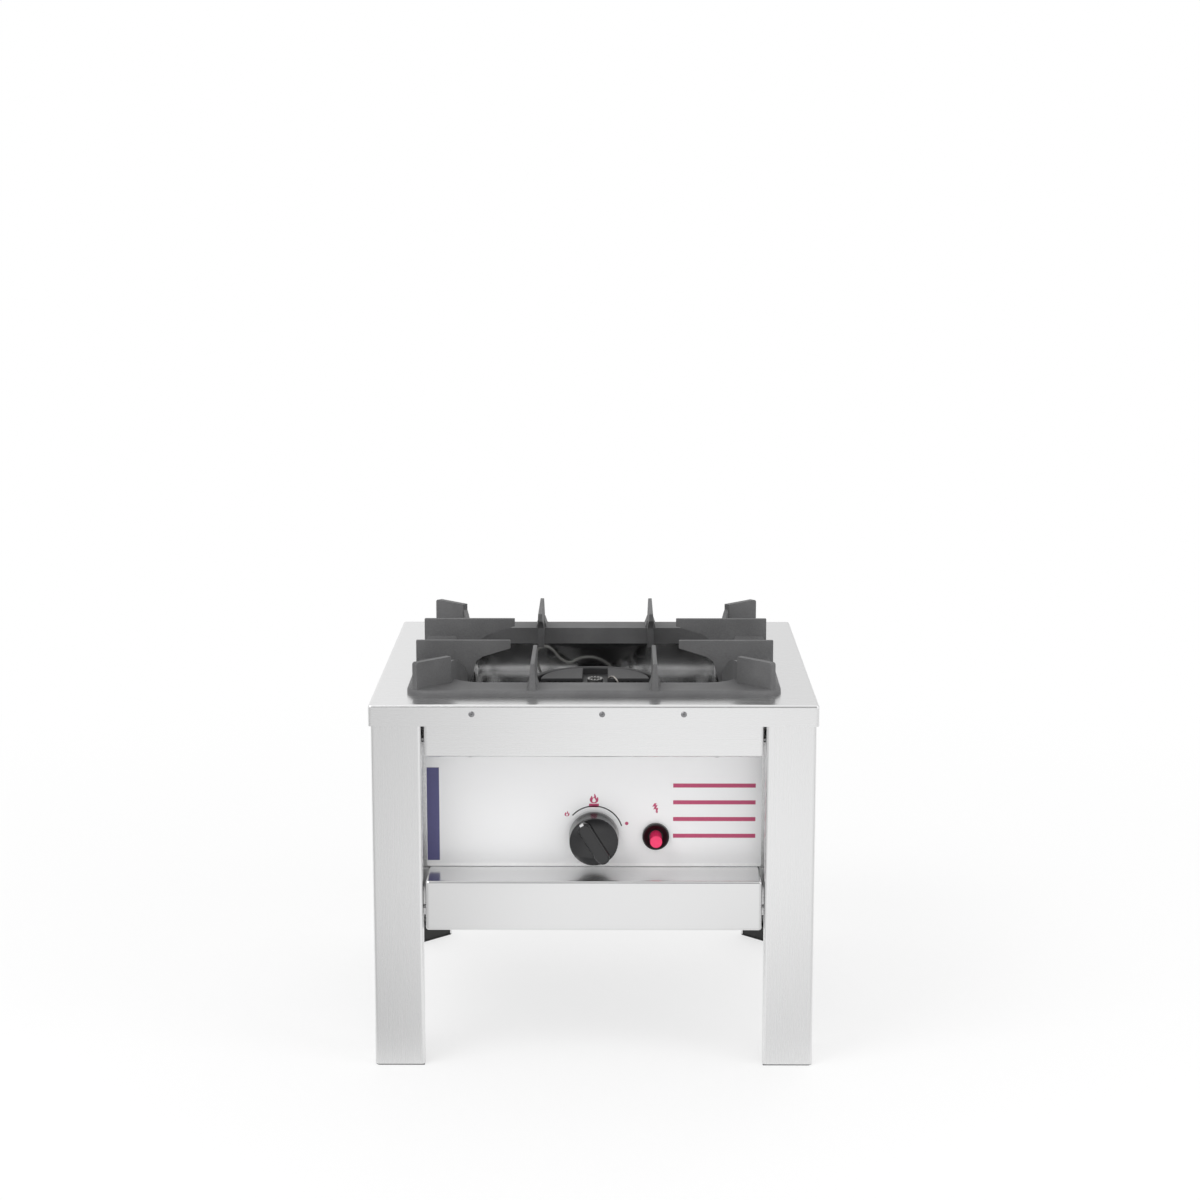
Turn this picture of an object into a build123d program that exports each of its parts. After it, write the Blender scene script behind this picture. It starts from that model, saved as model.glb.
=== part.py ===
from build123d import *
import math
import os

os.makedirs("parts", exist_ok=True)

# Driving dimensions, in millimetres. The floor is at z = 0, the front faces -Y.
PLAN = 400.0
TOP_Z = 335.0
SKIRT = 19.5
TOP_SHEET = 2.0
SHEET = 1.5
BEND = 3.0
TOP_ROUND = 2.8
SLIP = 0.1
SNUG = 0.05

LEG_FACE = 45.0
LEG_LIP = 8.0
RAIL_GAP = 2.0
UPPER_RAIL_BOTTOM = 287.0
UPPER_RAIL_DEPTH = 15.0
LOWER_RAIL_TOP = 173.0
LOWER_RAIL_BOTTOM = 127.0
LOWER_RAIL_DEPTH = 50.0
PANEL_RECESS = 50.0
PANEL_HALF_WIDTH = 160.0

OPENING = 280.0
OPENING_RADIUS = 20.0
PAN_FLOOR = 238.0
PAN_SHEET = 1.2

AXIS_Z = 203.0
IGNITER_X = 56.3
IGNITER_Z = 202.0
INLET_X = -90.0

BURNER_RADIUS = 64.0
BURNER_TOP = 317.0
HEAD_SEAT = 305.0
NECK_RADIUS = 17.0

SUPPORT_HALF = 169.0
SUPPORT_HEIGHT = 30.3
FINGER_OFFSET = 55.0
FINGER_THICKNESS = 6.0

HALF = PLAN / 2
FACE = HALF - TOP_SHEET
UNDER_TOP = TOP_Z - TOP_SHEET
FRAME_TOP = UNDER_TOP - 1.0
LEG_INNER = FACE - LEG_FACE
RAIL_HALF = LEG_INNER - RAIL_GAP
PANEL_Y = HALF - PANEL_RECESS
SIDES = {"front": 0, "right": 90, "rear": 180, "left": 270}
CORNERS = {"front_left": 0, "front_right": 90, "rear_right": 180, "rear_left": 270}


def axis_plane(x, y, z):
    """A sketch plane that faces the front, with its centre at a point."""
    return Plane(origin=(x, y, z), x_dir=(1, 0, 0), z_dir=(0, -1, 0))


def folded_sheet(points, bend_radius, thickness, side):
    """Face of a sheet bent along a line of points."""
    with BuildSketch() as outline:
        with BuildLine():
            FilletPolyline(*points, radius=bend_radius)
            offset(amount=thickness, side=side)
        make_face()
    return outline.sketch


# Top plate: a folded tray turned upside down, with the burner opening cut in it
SKIRT_SCREWS_X = (-108.0, 7.6, 80.0)
SKIRT_SCREW_Z = TOP_Z - 8.4
SCREW_HOLE = 2.1
OPENING_ROUND = 0.8

with BuildPart() as top_plate:
    with BuildSketch(Plane.XY.offset(TOP_Z - SKIRT)):
        RectangleRounded(PLAN, PLAN, BEND)
    extrude(amount=SKIRT)
    fillet(top_plate.faces().sort_by(Axis.Z)[-1].edges(), radius=TOP_ROUND)
    offset(amount=-TOP_SHEET, openings=top_plate.faces().sort_by(Axis.Z)[0])
    with BuildSketch(Plane.XY.offset(TOP_Z)):
        RectangleRounded(OPENING, OPENING, OPENING_RADIUS)
    extrude(amount=-2 * TOP_SHEET, mode=Mode.SUBTRACT)
    fillet(
        top_plate.faces().sort_by(Axis.Z)[-1].inner_wires()[0].edges(),
        radius=OPENING_ROUND,
    )
    for y in (-HALF, HALF):
        for x in SKIRT_SCREWS_X:
            with Locations(Location((x, y, SKIRT_SCREW_Z), (90, 0, 0))):
                Cylinder(SCREW_HOLE, 4 * TOP_SHEET, mode=Mode.SUBTRACT)
top_plate.part.label = "top_plate"
export_step(top_plate.part, "parts/top_plate.step")

# Screws through the skirt into the upper rails, front and rear
SKIRT_SCREW_HEAD = 2.7
SKIRT_SCREW_SHANK = 1.9
SKIRT_SCREW_HEIGHT = 1.2
SKIRT_SCREW_LENGTH = 9.0
RECESS_LENGTH = 3.0
RECESS_WIDTH = 0.7
RECESS_DEPTH = 0.8

with BuildPart() as front_screws:
    with BuildSketch(axis_plane(0, -HALF, SKIRT_SCREW_Z)):
        with Locations(*[(x, 0) for x in SKIRT_SCREWS_X]):
            Circle(SKIRT_SCREW_HEAD)
    extrude(amount=SKIRT_SCREW_HEIGHT)
    with BuildSketch(axis_plane(0, -HALF, SKIRT_SCREW_Z)):
        with Locations(*[(x, 0) for x in SKIRT_SCREWS_X]):
            Circle(SKIRT_SCREW_SHANK)
    extrude(amount=-SKIRT_SCREW_LENGTH)
    with BuildSketch(axis_plane(0, -HALF - SKIRT_SCREW_HEIGHT, SKIRT_SCREW_Z)):
        with Locations(*[(x, 0) for x in SKIRT_SCREWS_X]):
            Rectangle(RECESS_LENGTH, RECESS_WIDTH)
            Rectangle(RECESS_WIDTH, RECESS_LENGTH)
    extrude(amount=-RECESS_DEPTH, mode=Mode.SUBTRACT)

with BuildPart() as skirt_screws:
    add(front_screws.part)
    mirror(front_screws.part, about=Plane.XZ)
skirt_screws.part.label = "skirt_screws"
export_step(skirt_screws.part, "parts/skirt_screws.step")

# Legs: folded corner posts with returned lips, open on the inner diagonal
FOOT_SOLE = 1.0

leg_section = folded_sheet(
    [
        (-LEG_INNER, -FACE + LEG_LIP),
        (-LEG_INNER, -FACE),
        (-FACE, -FACE),
        (-FACE, -LEG_INNER),
        (-FACE + LEG_LIP, -LEG_INNER),
    ],
    BEND,
    SHEET,
    Side.RIGHT,
)

with BuildPart() as corner_leg:
    with BuildSketch(Plane.XY.offset(FOOT_SOLE)):
        add(leg_section)
    extrude(amount=FRAME_TOP - FOOT_SOLE)

# Feet: moulded blocks that plug the legs, with a thin sole under the sheet
FOOT_HEIGHT = 14.0
FOOT_IN = FACE - SHEET
FOOT_LIP = LEG_INNER + SHEET + 0.2
SOLE_INSET = 0.5
SOLE_BEVEL = 3.0
FOOT_BEVEL = 2.0
LIP_BEVEL = 1.6
SOCKET = 18.0
SOCKET_IN = 16.0
SOCKET_END = 3.0

with BuildPart() as foot_block:
    with BuildSketch(Plane.XY):
        Polygon(
            (-FACE + SOLE_INSET, -FACE + SOLE_BEVEL),
            (-FACE + SOLE_BEVEL, -FACE + SOLE_INSET),
            (-LEG_INNER - SOLE_INSET, -FACE + SOLE_INSET),
            (-LEG_INNER - SOLE_INSET, -FACE + LEG_LIP),
            (-FACE + LEG_LIP, -LEG_INNER - SOLE_INSET),
            (-FACE + SOLE_INSET, -LEG_INNER - SOLE_INSET),
            align=None,
        )
    extrude(amount=FOOT_SOLE)
    with BuildSketch(Plane.XY.offset(FOOT_SOLE)):
        Polygon(
            (-FOOT_IN, -FOOT_IN + FOOT_BEVEL),
            (-FOOT_IN + FOOT_BEVEL, -FOOT_IN),
            (-FOOT_LIP - LIP_BEVEL, -FOOT_IN),
            (-FOOT_LIP, -FOOT_IN + LIP_BEVEL),
            (-FOOT_LIP, -FACE + LEG_LIP),
            (-FACE + LEG_LIP, -FOOT_LIP),
            (-FOOT_IN + LIP_BEVEL, -FOOT_LIP),
            (-FOOT_IN, -FOOT_LIP - LIP_BEVEL),
            align=None,
        )
    extrude(amount=FOOT_HEIGHT - FOOT_SOLE)
    with BuildSketch(Plane.XY.offset(FOOT_HEIGHT)):
        with Locations((-FACE + SOCKET_IN, -FACE + SOCKET_IN)):
            Rectangle(SOCKET, SOCKET)
    extrude(amount=-FOOT_HEIGHT + SOCKET_END, mode=Mode.SUBTRACT)

for corner, turn in CORNERS.items():
    with BuildPart() as leg:
        add(corner_leg.part, rotation=(0, 0, turn))
    leg.part.label = f"leg_{corner}"
    export_step(leg.part, f"parts/leg_{corner}.step")

with BuildPart() as leg_feet:
    for turn in CORNERS.values():
        add(foot_block.part, rotation=(0, 0, turn))
leg_feet.part.label = "leg_feet"
export_step(leg_feet.part, "parts/leg_feet.step")

# Rails: folded channels, open at the back, whose ends turn in beside the legs
MITRE = 3.3
RAIL_BEND = 2.5
FLANGE_SCREW_X = 110.0
FLANGE_SCREW_Y = FACE - 9.0
FLANGE_SCREW = 1.6

with BuildPart() as upper_channel:
    with BuildSketch(Plane.XY.offset(UPPER_RAIL_BOTTOM)):
        with Locations((0, -FACE + UPPER_RAIL_DEPTH / 2)):
            Rectangle(2 * RAIL_HALF, UPPER_RAIL_DEPTH)
    extrude(amount=FRAME_TOP - UPPER_RAIL_BOTTOM)
    face = upper_channel.faces().sort_by(Axis.Y)[0]
    fillet(face.edges().filter_by(Axis.Z), radius=BEND)
    face = upper_channel.faces().sort_by(Axis.Y)[0]
    fillet(face.edges().sort_by(Axis.Z)[0], radius=RAIL_BEND)
    offset(
        amount=-SHEET,
        openings=[
            upper_channel.faces().sort_by(Axis.Y)[-1],
            upper_channel.faces().sort_by(Axis.Z)[-1],
        ],
    )
    for x in (-FLANGE_SCREW_X, FLANGE_SCREW_X):
        with Locations((x, -FLANGE_SCREW_Y, UPPER_RAIL_BOTTOM)):
            Cylinder(FLANGE_SCREW, 4 * SHEET, mode=Mode.SUBTRACT)

with BuildPart() as lower_channel:
    with BuildSketch(Plane.XY.offset(LOWER_RAIL_BOTTOM)):
        with Locations((0, -FACE + LOWER_RAIL_DEPTH / 2)):
            Rectangle(2 * RAIL_HALF, LOWER_RAIL_DEPTH)
    extrude(amount=LOWER_RAIL_TOP - LOWER_RAIL_BOTTOM)
    chamfer(lower_channel.edges().filter_by(Axis.Z).group_by(Axis.Y)[-1], length=MITRE)
    fillet(lower_channel.edges().filter_by(Axis.Z).group_by(Axis.Y)[0], radius=BEND)
    face = lower_channel.faces().sort_by(Axis.Y)[0]
    fillet(face.edges().filter_by(Axis.X), radius=RAIL_BEND)
    offset(amount=-SHEET, openings=lower_channel.faces().sort_by(Axis.Y)[-1])

for side, turn in SIDES.items():
    with BuildPart() as upper_rail:
        add(upper_channel.part, rotation=(0, 0, turn))
        if side in ("front", "rear"):
            for x in SKIRT_SCREWS_X:
                y = -FACE if side == "front" else FACE
                with Locations(Location((x, y, SKIRT_SCREW_Z), (90, 0, 0))):
                    Cylinder(SKIRT_SCREW_SHANK, 4 * SHEET, mode=Mode.SUBTRACT)
    upper_rail.part.label = f"upper_rail_{side}"
    export_step(upper_rail.part, f"parts/upper_rail_{side}.step")
    with BuildPart() as lower_rail:
        add(lower_channel.part, rotation=(0, 0, turn))
    lower_rail.part.label = f"lower_rail_{side}"
    export_step(lower_rail.part, f"parts/lower_rail_{side}.step")

# Corner gussets: flat plates welded inside the legs, joined to the rail ends
GUSSET = 2.0
GUSSET_LEVELS = (300.0, 145.0)
GUSSET_PASS = FACE - LEG_LIP - 1.5
GUSSET_TOE = RAIL_HALF + 33.0
GUSSET_LAP = 3.0

with BuildPart() as gusset_pair:
    for level in GUSSET_LEVELS:
        with BuildSketch(Plane.XY.offset(level)):
            Polygon(
                (-FOOT_IN, -FOOT_IN + FOOT_BEVEL),
                (-FOOT_IN, -LEG_INNER - GUSSET_LAP),
                (-GUSSET_PASS, -LEG_INNER - GUSSET_LAP),
                (-GUSSET_PASS, -RAIL_HALF),
                (-GUSSET_TOE, -RAIL_HALF),
                (-RAIL_HALF, -GUSSET_TOE),
                (-RAIL_HALF, -GUSSET_PASS),
                (-LEG_INNER - GUSSET_LAP, -GUSSET_PASS),
                (-LEG_INNER - GUSSET_LAP, -FOOT_IN),
                (-FOOT_IN + FOOT_BEVEL, -FOOT_IN),
                align=None,
            )
        extrude(amount=GUSSET)

with BuildPart() as corner_gussets:
    for turn in CORNERS.values():
        add(gusset_pair.part, rotation=(0, 0, turn))
corner_gussets.part.label = "corner_gussets"
export_step(corner_gussets.part, "parts/corner_gussets.step")

# Housing panels: upright sheets on the shelves, with a top flange on the upper rails
FLANGE_HALF = 148.0
FLANGE_Z = UPPER_RAIL_BOTTOM + SHEET
FLANGE_END = FACE - 4.0
SPINDLE_HOLE = 6.0
VALVE_SCREW_X = 17.0
VALVE_SCREW_HOLE = 2.1
IGNITER_HOLE = 8.8
INLET_HOLE = 9.3
NOTCH = (60.0, 44.0, 12.0)

panel_section = folded_sheet(
    [(-PANEL_Y, LOWER_RAIL_TOP), (-PANEL_Y, FLANGE_Z), (-FLANGE_END, FLANGE_Z)],
    SHEET,
    SHEET,
    Side.RIGHT,
)


def housing_panel(half_width):
    """Front panel with its forward flange, before its own holes are cut."""
    with BuildPart() as panel:
        with BuildSketch(Plane.YZ):
            add(panel_section)
        extrude(amount=half_width, both=True)
        for end in (-1, 1):
            with Locations((end * (FLANGE_HALF + NOTCH[0] / 2), -FLANGE_END + 20, FLANGE_Z)):
                Box(*NOTCH, mode=Mode.SUBTRACT)
        for x in (-FLANGE_SCREW_X, FLANGE_SCREW_X):
            with Locations((x, -FLANGE_SCREW_Y, FLANGE_Z)):
                Cylinder(FLANGE_SCREW, 6 * SHEET, mode=Mode.SUBTRACT)
    return panel.part


wide_panel = housing_panel(PANEL_HALF_WIDTH)
narrow_panel = housing_panel(PANEL_Y - SHEET)

with BuildPart() as control_panel:
    add(wide_panel)
    with Locations(Location((0, -PANEL_Y, AXIS_Z), (90, 0, 0))):
        Cylinder(SPINDLE_HOLE, 6 * SHEET, mode=Mode.SUBTRACT)
    for x in (-VALVE_SCREW_X, VALVE_SCREW_X):
        with Locations(Location((x, -PANEL_Y, AXIS_Z), (90, 0, 0))):
            Cylinder(VALVE_SCREW_HOLE, 6 * SHEET, mode=Mode.SUBTRACT)
    with Locations(Location((IGNITER_X, -PANEL_Y, IGNITER_Z), (90, 0, 0))):
        Cylinder(IGNITER_HOLE, 6 * SHEET, mode=Mode.SUBTRACT)
control_panel.part.label = "control_panel"
export_step(control_panel.part, "parts/control_panel.step")

# Overlay: the thin printed sheet on the control panel
OVERLAY = 0.5
OVERLAY_HALF = 152.5
OVERLAY_BOTTOM = 173.5
OVERLAY_TOP = 277.0
OVERLAY_FRONT = PANEL_Y + OVERLAY
OVERLAY_CORNER = 1.0
SPINDLE_CLEAR = 8.0
SCREW_CLEAR = 4.0

with BuildPart() as panel_overlay:
    with BuildSketch(axis_plane(0, -PANEL_Y, 0)):
        with Locations((0, (OVERLAY_BOTTOM + OVERLAY_TOP) / 2)):
            RectangleRounded(2 * OVERLAY_HALF, OVERLAY_TOP - OVERLAY_BOTTOM, OVERLAY_CORNER)
        with Locations((0, AXIS_Z)):
            Circle(SPINDLE_CLEAR, mode=Mode.SUBTRACT)
        with Locations((-VALVE_SCREW_X, AXIS_Z), (VALVE_SCREW_X, AXIS_Z)):
            Circle(SCREW_CLEAR, mode=Mode.SUBTRACT)
        with Locations((IGNITER_X, IGNITER_Z)):
            Circle(IGNITER_HOLE, mode=Mode.SUBTRACT)
    extrude(amount=OVERLAY)
panel_overlay.part.label = "panel_overlay"
export_step(panel_overlay.part, "parts/panel_overlay.step")

# Side and rear panels carry rows of slots for combustion air
VENT_LENGTH = 34.0
VENT_WIDTH = 5.0
VENT_PITCH_X = 48.0
VENT_PITCH_Z = 14.0
VENT_Z = 216.0
REAR_VENT_X = -60.0

with BuildPart() as side_sheet:
    add(narrow_panel)
    with BuildSketch(axis_plane(0, -PANEL_Y, VENT_Z)):
        with GridLocations(VENT_PITCH_X, VENT_PITCH_Z, 4, 4):
            SlotOverall(VENT_LENGTH, VENT_WIDTH)
    extrude(amount=2 * SHEET, both=True, mode=Mode.SUBTRACT)

for side in ("left", "right"):
    with BuildPart() as side_panel:
        add(side_sheet.part, rotation=(0, 0, SIDES[side]))
    side_panel.part.label = f"side_panel_{side}"
    export_step(side_panel.part, f"parts/side_panel_{side}.step")

with BuildPart() as rear_sheet:
    add(wide_panel)
    with BuildSketch(axis_plane(0, -PANEL_Y, VENT_Z)):
        with Locations((REAR_VENT_X, 0)):
            with GridLocations(VENT_PITCH_X, VENT_PITCH_Z, 3, 4):
                SlotOverall(VENT_LENGTH, VENT_WIDTH)
    extrude(amount=2 * SHEET, both=True, mode=Mode.SUBTRACT)
    with Locations(Location((-INLET_X, -PANEL_Y, AXIS_Z), (90, 0, 0))):
        Cylinder(INLET_HOLE, 6 * SHEET, mode=Mode.SUBTRACT)

with BuildPart() as rear_panel:
    add(rear_sheet.part, rotation=(0, 0, SIDES["rear"]))
rear_panel.part.label = "rear_panel"
export_step(rear_panel.part, "parts/rear_panel.step")

# Screws that hold the panel flanges down on the upper rails, from below
PAN_HEAD = 3.0
PAN_HEAD_HEIGHT = 2.0
FLANGE_SCREW_LENGTH = 8.0

with BuildPart() as flange_screws:
    with BuildSketch(Plane.XY.offset(UPPER_RAIL_BOTTOM)):
        with Locations((-FLANGE_SCREW_X, -FLANGE_SCREW_Y), (FLANGE_SCREW_X, -FLANGE_SCREW_Y)):
            Circle(PAN_HEAD)
    extrude(amount=-PAN_HEAD_HEIGHT)
    with BuildSketch(Plane.XY.offset(UPPER_RAIL_BOTTOM)):
        with Locations((-FLANGE_SCREW_X, -FLANGE_SCREW_Y), (FLANGE_SCREW_X, -FLANGE_SCREW_Y)):
            Circle(FLANGE_SCREW)
    extrude(amount=FLANGE_SCREW_LENGTH)

with BuildPart() as panel_screws:
    for turn in SIDES.values():
        add(flange_screws.part, rotation=(0, 0, turn))
panel_screws.part.label = "panel_screws"
export_step(panel_screws.part, "parts/panel_screws.step")

# Burner pan: a deep polished tray hung under the opening by its flange
PAN_CORNER = 8.0
PAN_FLANGE = 12.0
PAN_OUT = OPENING + 2 * PAN_SHEET
PAN_OUT_RADIUS = OPENING_RADIUS + PAN_SHEET
PAN_UNDER = PAN_FLOOR - PAN_SHEET
NECK_HOLE = 17.6
GROMMET_HOLE = 5.5
LEAD_HOLE = (-52.0, 66.0)
PROBE_HOLE = (37.0, -24.0)
STAND_SCREW_RADIUS = 27.0
STAND_SCREW = 1.6

with BuildPart() as burner_pan:
    with BuildSketch(Plane.XY.offset(PAN_UNDER)):
        RectangleRounded(PAN_OUT, PAN_OUT, PAN_OUT_RADIUS)
    extrude(amount=UNDER_TOP - PAN_UNDER)
    fillet(burner_pan.faces().sort_by(Axis.Z)[0].edges(), radius=PAN_CORNER)
    offset(amount=-PAN_SHEET, openings=burner_pan.faces().sort_by(Axis.Z)[-1])
    with BuildSketch(Plane.XY.offset(UNDER_TOP)):
        RectangleRounded(
            PAN_OUT + 2 * PAN_FLANGE, PAN_OUT + 2 * PAN_FLANGE, PAN_OUT_RADIUS + PAN_FLANGE
        )
        RectangleRounded(OPENING, OPENING, OPENING_RADIUS, mode=Mode.SUBTRACT)
    extrude(amount=-PAN_SHEET)
    with Locations((0, 0, PAN_FLOOR)):
        Cylinder(NECK_HOLE, 4 * PAN_SHEET, mode=Mode.SUBTRACT)
    with Locations((*LEAD_HOLE, PAN_FLOOR), (*PROBE_HOLE, PAN_FLOOR)):
        Cylinder(GROMMET_HOLE, 4 * PAN_SHEET, mode=Mode.SUBTRACT)
    with Locations((0, 0, PAN_FLOOR)):
        with PolarLocations(STAND_SCREW_RADIUS, 3, start_angle=90):
            Cylinder(STAND_SCREW, 4 * PAN_SHEET, mode=Mode.SUBTRACT)
burner_pan.part.label = "burner_pan"
export_step(burner_pan.part, "parts/burner_pan.step")

# Grommets where the igniter lead and the probe lead pass through the pan floor
LEAD_RADIUS = 1.3
PROBE_LEAD_RADIUS = 1.1
GROMMET_RIM = 1.6
GROMMET_FLANGE = GROMMET_HOLE + 2.0

with BuildPart() as lead_grommets:
    for place, bore in ((LEAD_HOLE, LEAD_RADIUS), (PROBE_HOLE, PROBE_LEAD_RADIUS)):
        with BuildSketch(Plane.XY.offset(PAN_UNDER - GROMMET_RIM)):
            with Locations(place):
                Circle(GROMMET_FLANGE)
                Circle(bore + SLIP, mode=Mode.SUBTRACT)
        extrude(amount=GROMMET_RIM)
        with BuildSketch(Plane.XY.offset(PAN_UNDER)):
            with Locations(place):
                Circle(GROMMET_HOLE)
                Circle(bore + SLIP, mode=Mode.SUBTRACT)
        extrude(amount=PAN_SHEET)
        with BuildSketch(Plane.XY.offset(PAN_FLOOR)):
            with Locations(place):
                Circle(GROMMET_FLANGE)
                Circle(bore + SLIP, mode=Mode.SUBTRACT)
        extrude(amount=GROMMET_RIM)
lead_grommets.part.label = "lead_grommets"
export_step(lead_grommets.part, "parts/lead_grommets.step")

# Burner stand: a ring on the pan floor that carries the shoulder of the neck
STAND_TOP = PAN_FLOOR + 3.0
STAND_RADIUS = 34.0
STAND_EDGE = 0.8

with BuildPart() as burner_stand:
    with BuildSketch(Plane.XY.offset(PAN_FLOOR)):
        Circle(STAND_RADIUS)
        Circle(NECK_RADIUS + SLIP, mode=Mode.SUBTRACT)
        with PolarLocations(STAND_SCREW_RADIUS, 3, start_angle=90):
            Circle(STAND_SCREW, mode=Mode.SUBTRACT)
    extrude(amount=STAND_TOP - PAN_FLOOR)
    chamfer(burner_stand.edges().group_by(Axis.Z)[-1].sort_by(SortBy.LENGTH)[-1], length=STAND_EDGE)
burner_stand.part.label = "burner_stand"
export_step(burner_stand.part, "parts/burner_stand.step")

with BuildPart() as stand_screws:
    with BuildSketch(Plane.XY.offset(STAND_TOP)):
        with PolarLocations(STAND_SCREW_RADIUS, 3, start_angle=90):
            Circle(PAN_HEAD)
    extrude(amount=PAN_HEAD_HEIGHT)
    with BuildSketch(Plane.XY.offset(STAND_TOP)):
        with PolarLocations(STAND_SCREW_RADIUS, 3, start_angle=90):
            Circle(STAND_SCREW)
    extrude(amount=-(STAND_TOP - PAN_UNDER))
stand_screws.part.label = "stand_screws"
export_step(stand_screws.part, "parts/stand_screws.step")

# Burner body: a cast bowl with an outer ring, a neck and a bridge for the centre bolt
NECK_BORE = 14.0
NECK_BOTTOM = 222.0
NECK_UPPER = 20.0
BOWL_STEP = (30.0, 281.0)
RING_TOP = 316.0
RING_IN = 58.0
LUG_RADIUS = 54.0
LUG_ANGLES = (30.0, 150.0, 270.0)
ELECTRODE_AT = (22.0, -18.0)
PROBE_AT = PROBE_HOLE
ELECTRODE_WELL = 6.0
PROBE_WELL = 4.0
WELL_WALL = 2.5
BOLT_RADIUS = 2.5
BOWL_INSIDE = 288.0
BOWL_EDGE = 300.0
BOWL_RIM = 303.0
BOWL_WALL = 4.0
RIM_ROUND = 2.0
LUG = 5.5
LUG_BASE = 289.0
LUG_HEIGHT = 10.0
BRIDGE = (2 * RING_IN - 8.0, 10.0)
BRIDGE_BASE = 295.0
BRIDGE_HEIGHT = 6.0
WELL_BASE = 284.0
HEAD_SCREW = 1.7

with BuildPart() as burner_body:
    with BuildSketch(Plane.XZ):
        Polygon(
            (NECK_BORE, NECK_BOTTOM),
            (NECK_RADIUS, NECK_BOTTOM),
            (NECK_RADIUS, STAND_TOP),
            (NECK_UPPER, STAND_TOP),
            (NECK_UPPER, BOWL_STEP[1] - BOWL_WALL),
            BOWL_STEP,
            (BURNER_RADIUS - BOWL_WALL, BOWL_EDGE),
            (BURNER_RADIUS, BOWL_RIM),
            (BURNER_RADIUS, RING_TOP),
            (RING_IN, RING_TOP),
            (RING_IN, HEAD_SEAT),
            (RING_IN - BOWL_WALL, HEAD_SEAT),
            (RING_IN - BOWL_WALL, BOWL_EDGE),
            (BOWL_STEP[0], BOWL_INSIDE),
            (NECK_BORE, BOWL_STEP[1] - 2),
            align=None,
        )
    revolve(axis=Axis.Z)
    rim = burner_body.edges().group_by(Axis.Z)[-1]
    fillet(rim, radius=RIM_ROUND)
    with BuildSketch(Plane.XY.offset(LUG_BASE)):
        for angle in LUG_ANGLES:
            lug = Vector(LUG_RADIUS, 0).rotate(Axis.Z, angle)
            with Locations(lug):
                Circle(LUG)
    extrude(amount=LUG_HEIGHT)
    with BuildSketch(Plane.XY.offset(BRIDGE_BASE)):
        Rectangle(*BRIDGE)
    extrude(amount=BRIDGE_HEIGHT)
    with BuildSketch(Plane.XY.offset(WELL_BASE)):
        with Locations(ELECTRODE_AT):
            Circle(ELECTRODE_WELL + WELL_WALL)
        with Locations(PROBE_AT):
            Circle(PROBE_WELL + WELL_WALL)
    extrude(amount=HEAD_SEAT - WELL_BASE)
    with Locations((*ELECTRODE_AT, LUG_BASE)):
        Cylinder(ELECTRODE_WELL, 60, mode=Mode.SUBTRACT)
    with Locations((*PROBE_AT, LUG_BASE)):
        Cylinder(PROBE_WELL, 60, mode=Mode.SUBTRACT)
    with Locations((0, 0, BRIDGE_BASE + BRIDGE_HEIGHT / 2)):
        Cylinder(BOLT_RADIUS, 2 * BRIDGE_HEIGHT, mode=Mode.SUBTRACT)
    for angle in LUG_ANGLES:
        lug = Vector(LUG_RADIUS, 0).rotate(Axis.Z, angle)
        with Locations((lug.X, lug.Y, HEAD_SEAT)):
            Cylinder(HEAD_SCREW, 40, mode=Mode.SUBTRACT)
burner_body.part.label = "burner_body"
export_step(burner_body.part, "parts/burner_body.step")

# Burner head: a plate with two tall rear petals and a low front crown, hollow below
HEAD_RADIUS = RING_IN - 0.4
HEAD_PLATE = 4.0
PETAL_RADIUS = 52.0
PETAL_SLOT = 24.0
PETAL_WALL = 3.5
PETAL_EDGE = 1.2
PORT = 1.4
PORT_PITCH = 6.0
PORT_Z = 312.5
PORT_ANGLES = range(22, 83, 12)
FIRST_PORT = PETAL_SLOT / 2 + 8.0
HEAD_LEVEL = HEAD_SEAT + HEAD_PLATE
CROWN_TOP = HEAD_LEVEL + 2.5
CROWN_FRONT = 46.0
CROWN_BACK = 34.0


def petal_outline(wall):
    """Quarter disc of one rear petal, drawn in by a wall."""
    with BuildSketch() as petal:
        Circle(PETAL_RADIUS - wall)
        with Locations((PETAL_SLOT / 2 + wall + PETAL_RADIUS, wall + PETAL_RADIUS)):
            Rectangle(2 * PETAL_RADIUS, 2 * PETAL_RADIUS, mode=Mode.INTERSECT)
    return petal.sketch


petal_face = petal_outline(0)
petal_chamber = petal_outline(PETAL_WALL)

with BuildPart() as rear_petal:
    with BuildSketch(Plane.XY.offset(HEAD_LEVEL)):
        add(petal_face)
    extrude(amount=BURNER_TOP - HEAD_LEVEL)
    fillet(rear_petal.faces().sort_by(Axis.Z)[-1].edges(), radius=PETAL_EDGE)
    with BuildSketch(Plane.XY.offset(HEAD_LEVEL)):
        add(petal_chamber)
    extrude(amount=BURNER_TOP - HEAD_LEVEL - PETAL_WALL, mode=Mode.SUBTRACT)
    for step in range(5):
        port_x = FIRST_PORT + step * PORT_PITCH
        with Locations(Location((port_x, 0, PORT_Z), (90, 0, 0))):
            Cylinder(PORT, 4 * PETAL_WALL, mode=Mode.SUBTRACT)
    for angle in PORT_ANGLES:
        middle = Vector(PETAL_RADIUS - PETAL_WALL / 2, 0, 0).rotate(Axis.Z, angle)
        with Locations(Location((middle.X, middle.Y, PORT_Z), (0, 90, angle))):
            Cylinder(PORT, 2 * PETAL_WALL, mode=Mode.SUBTRACT)

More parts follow.
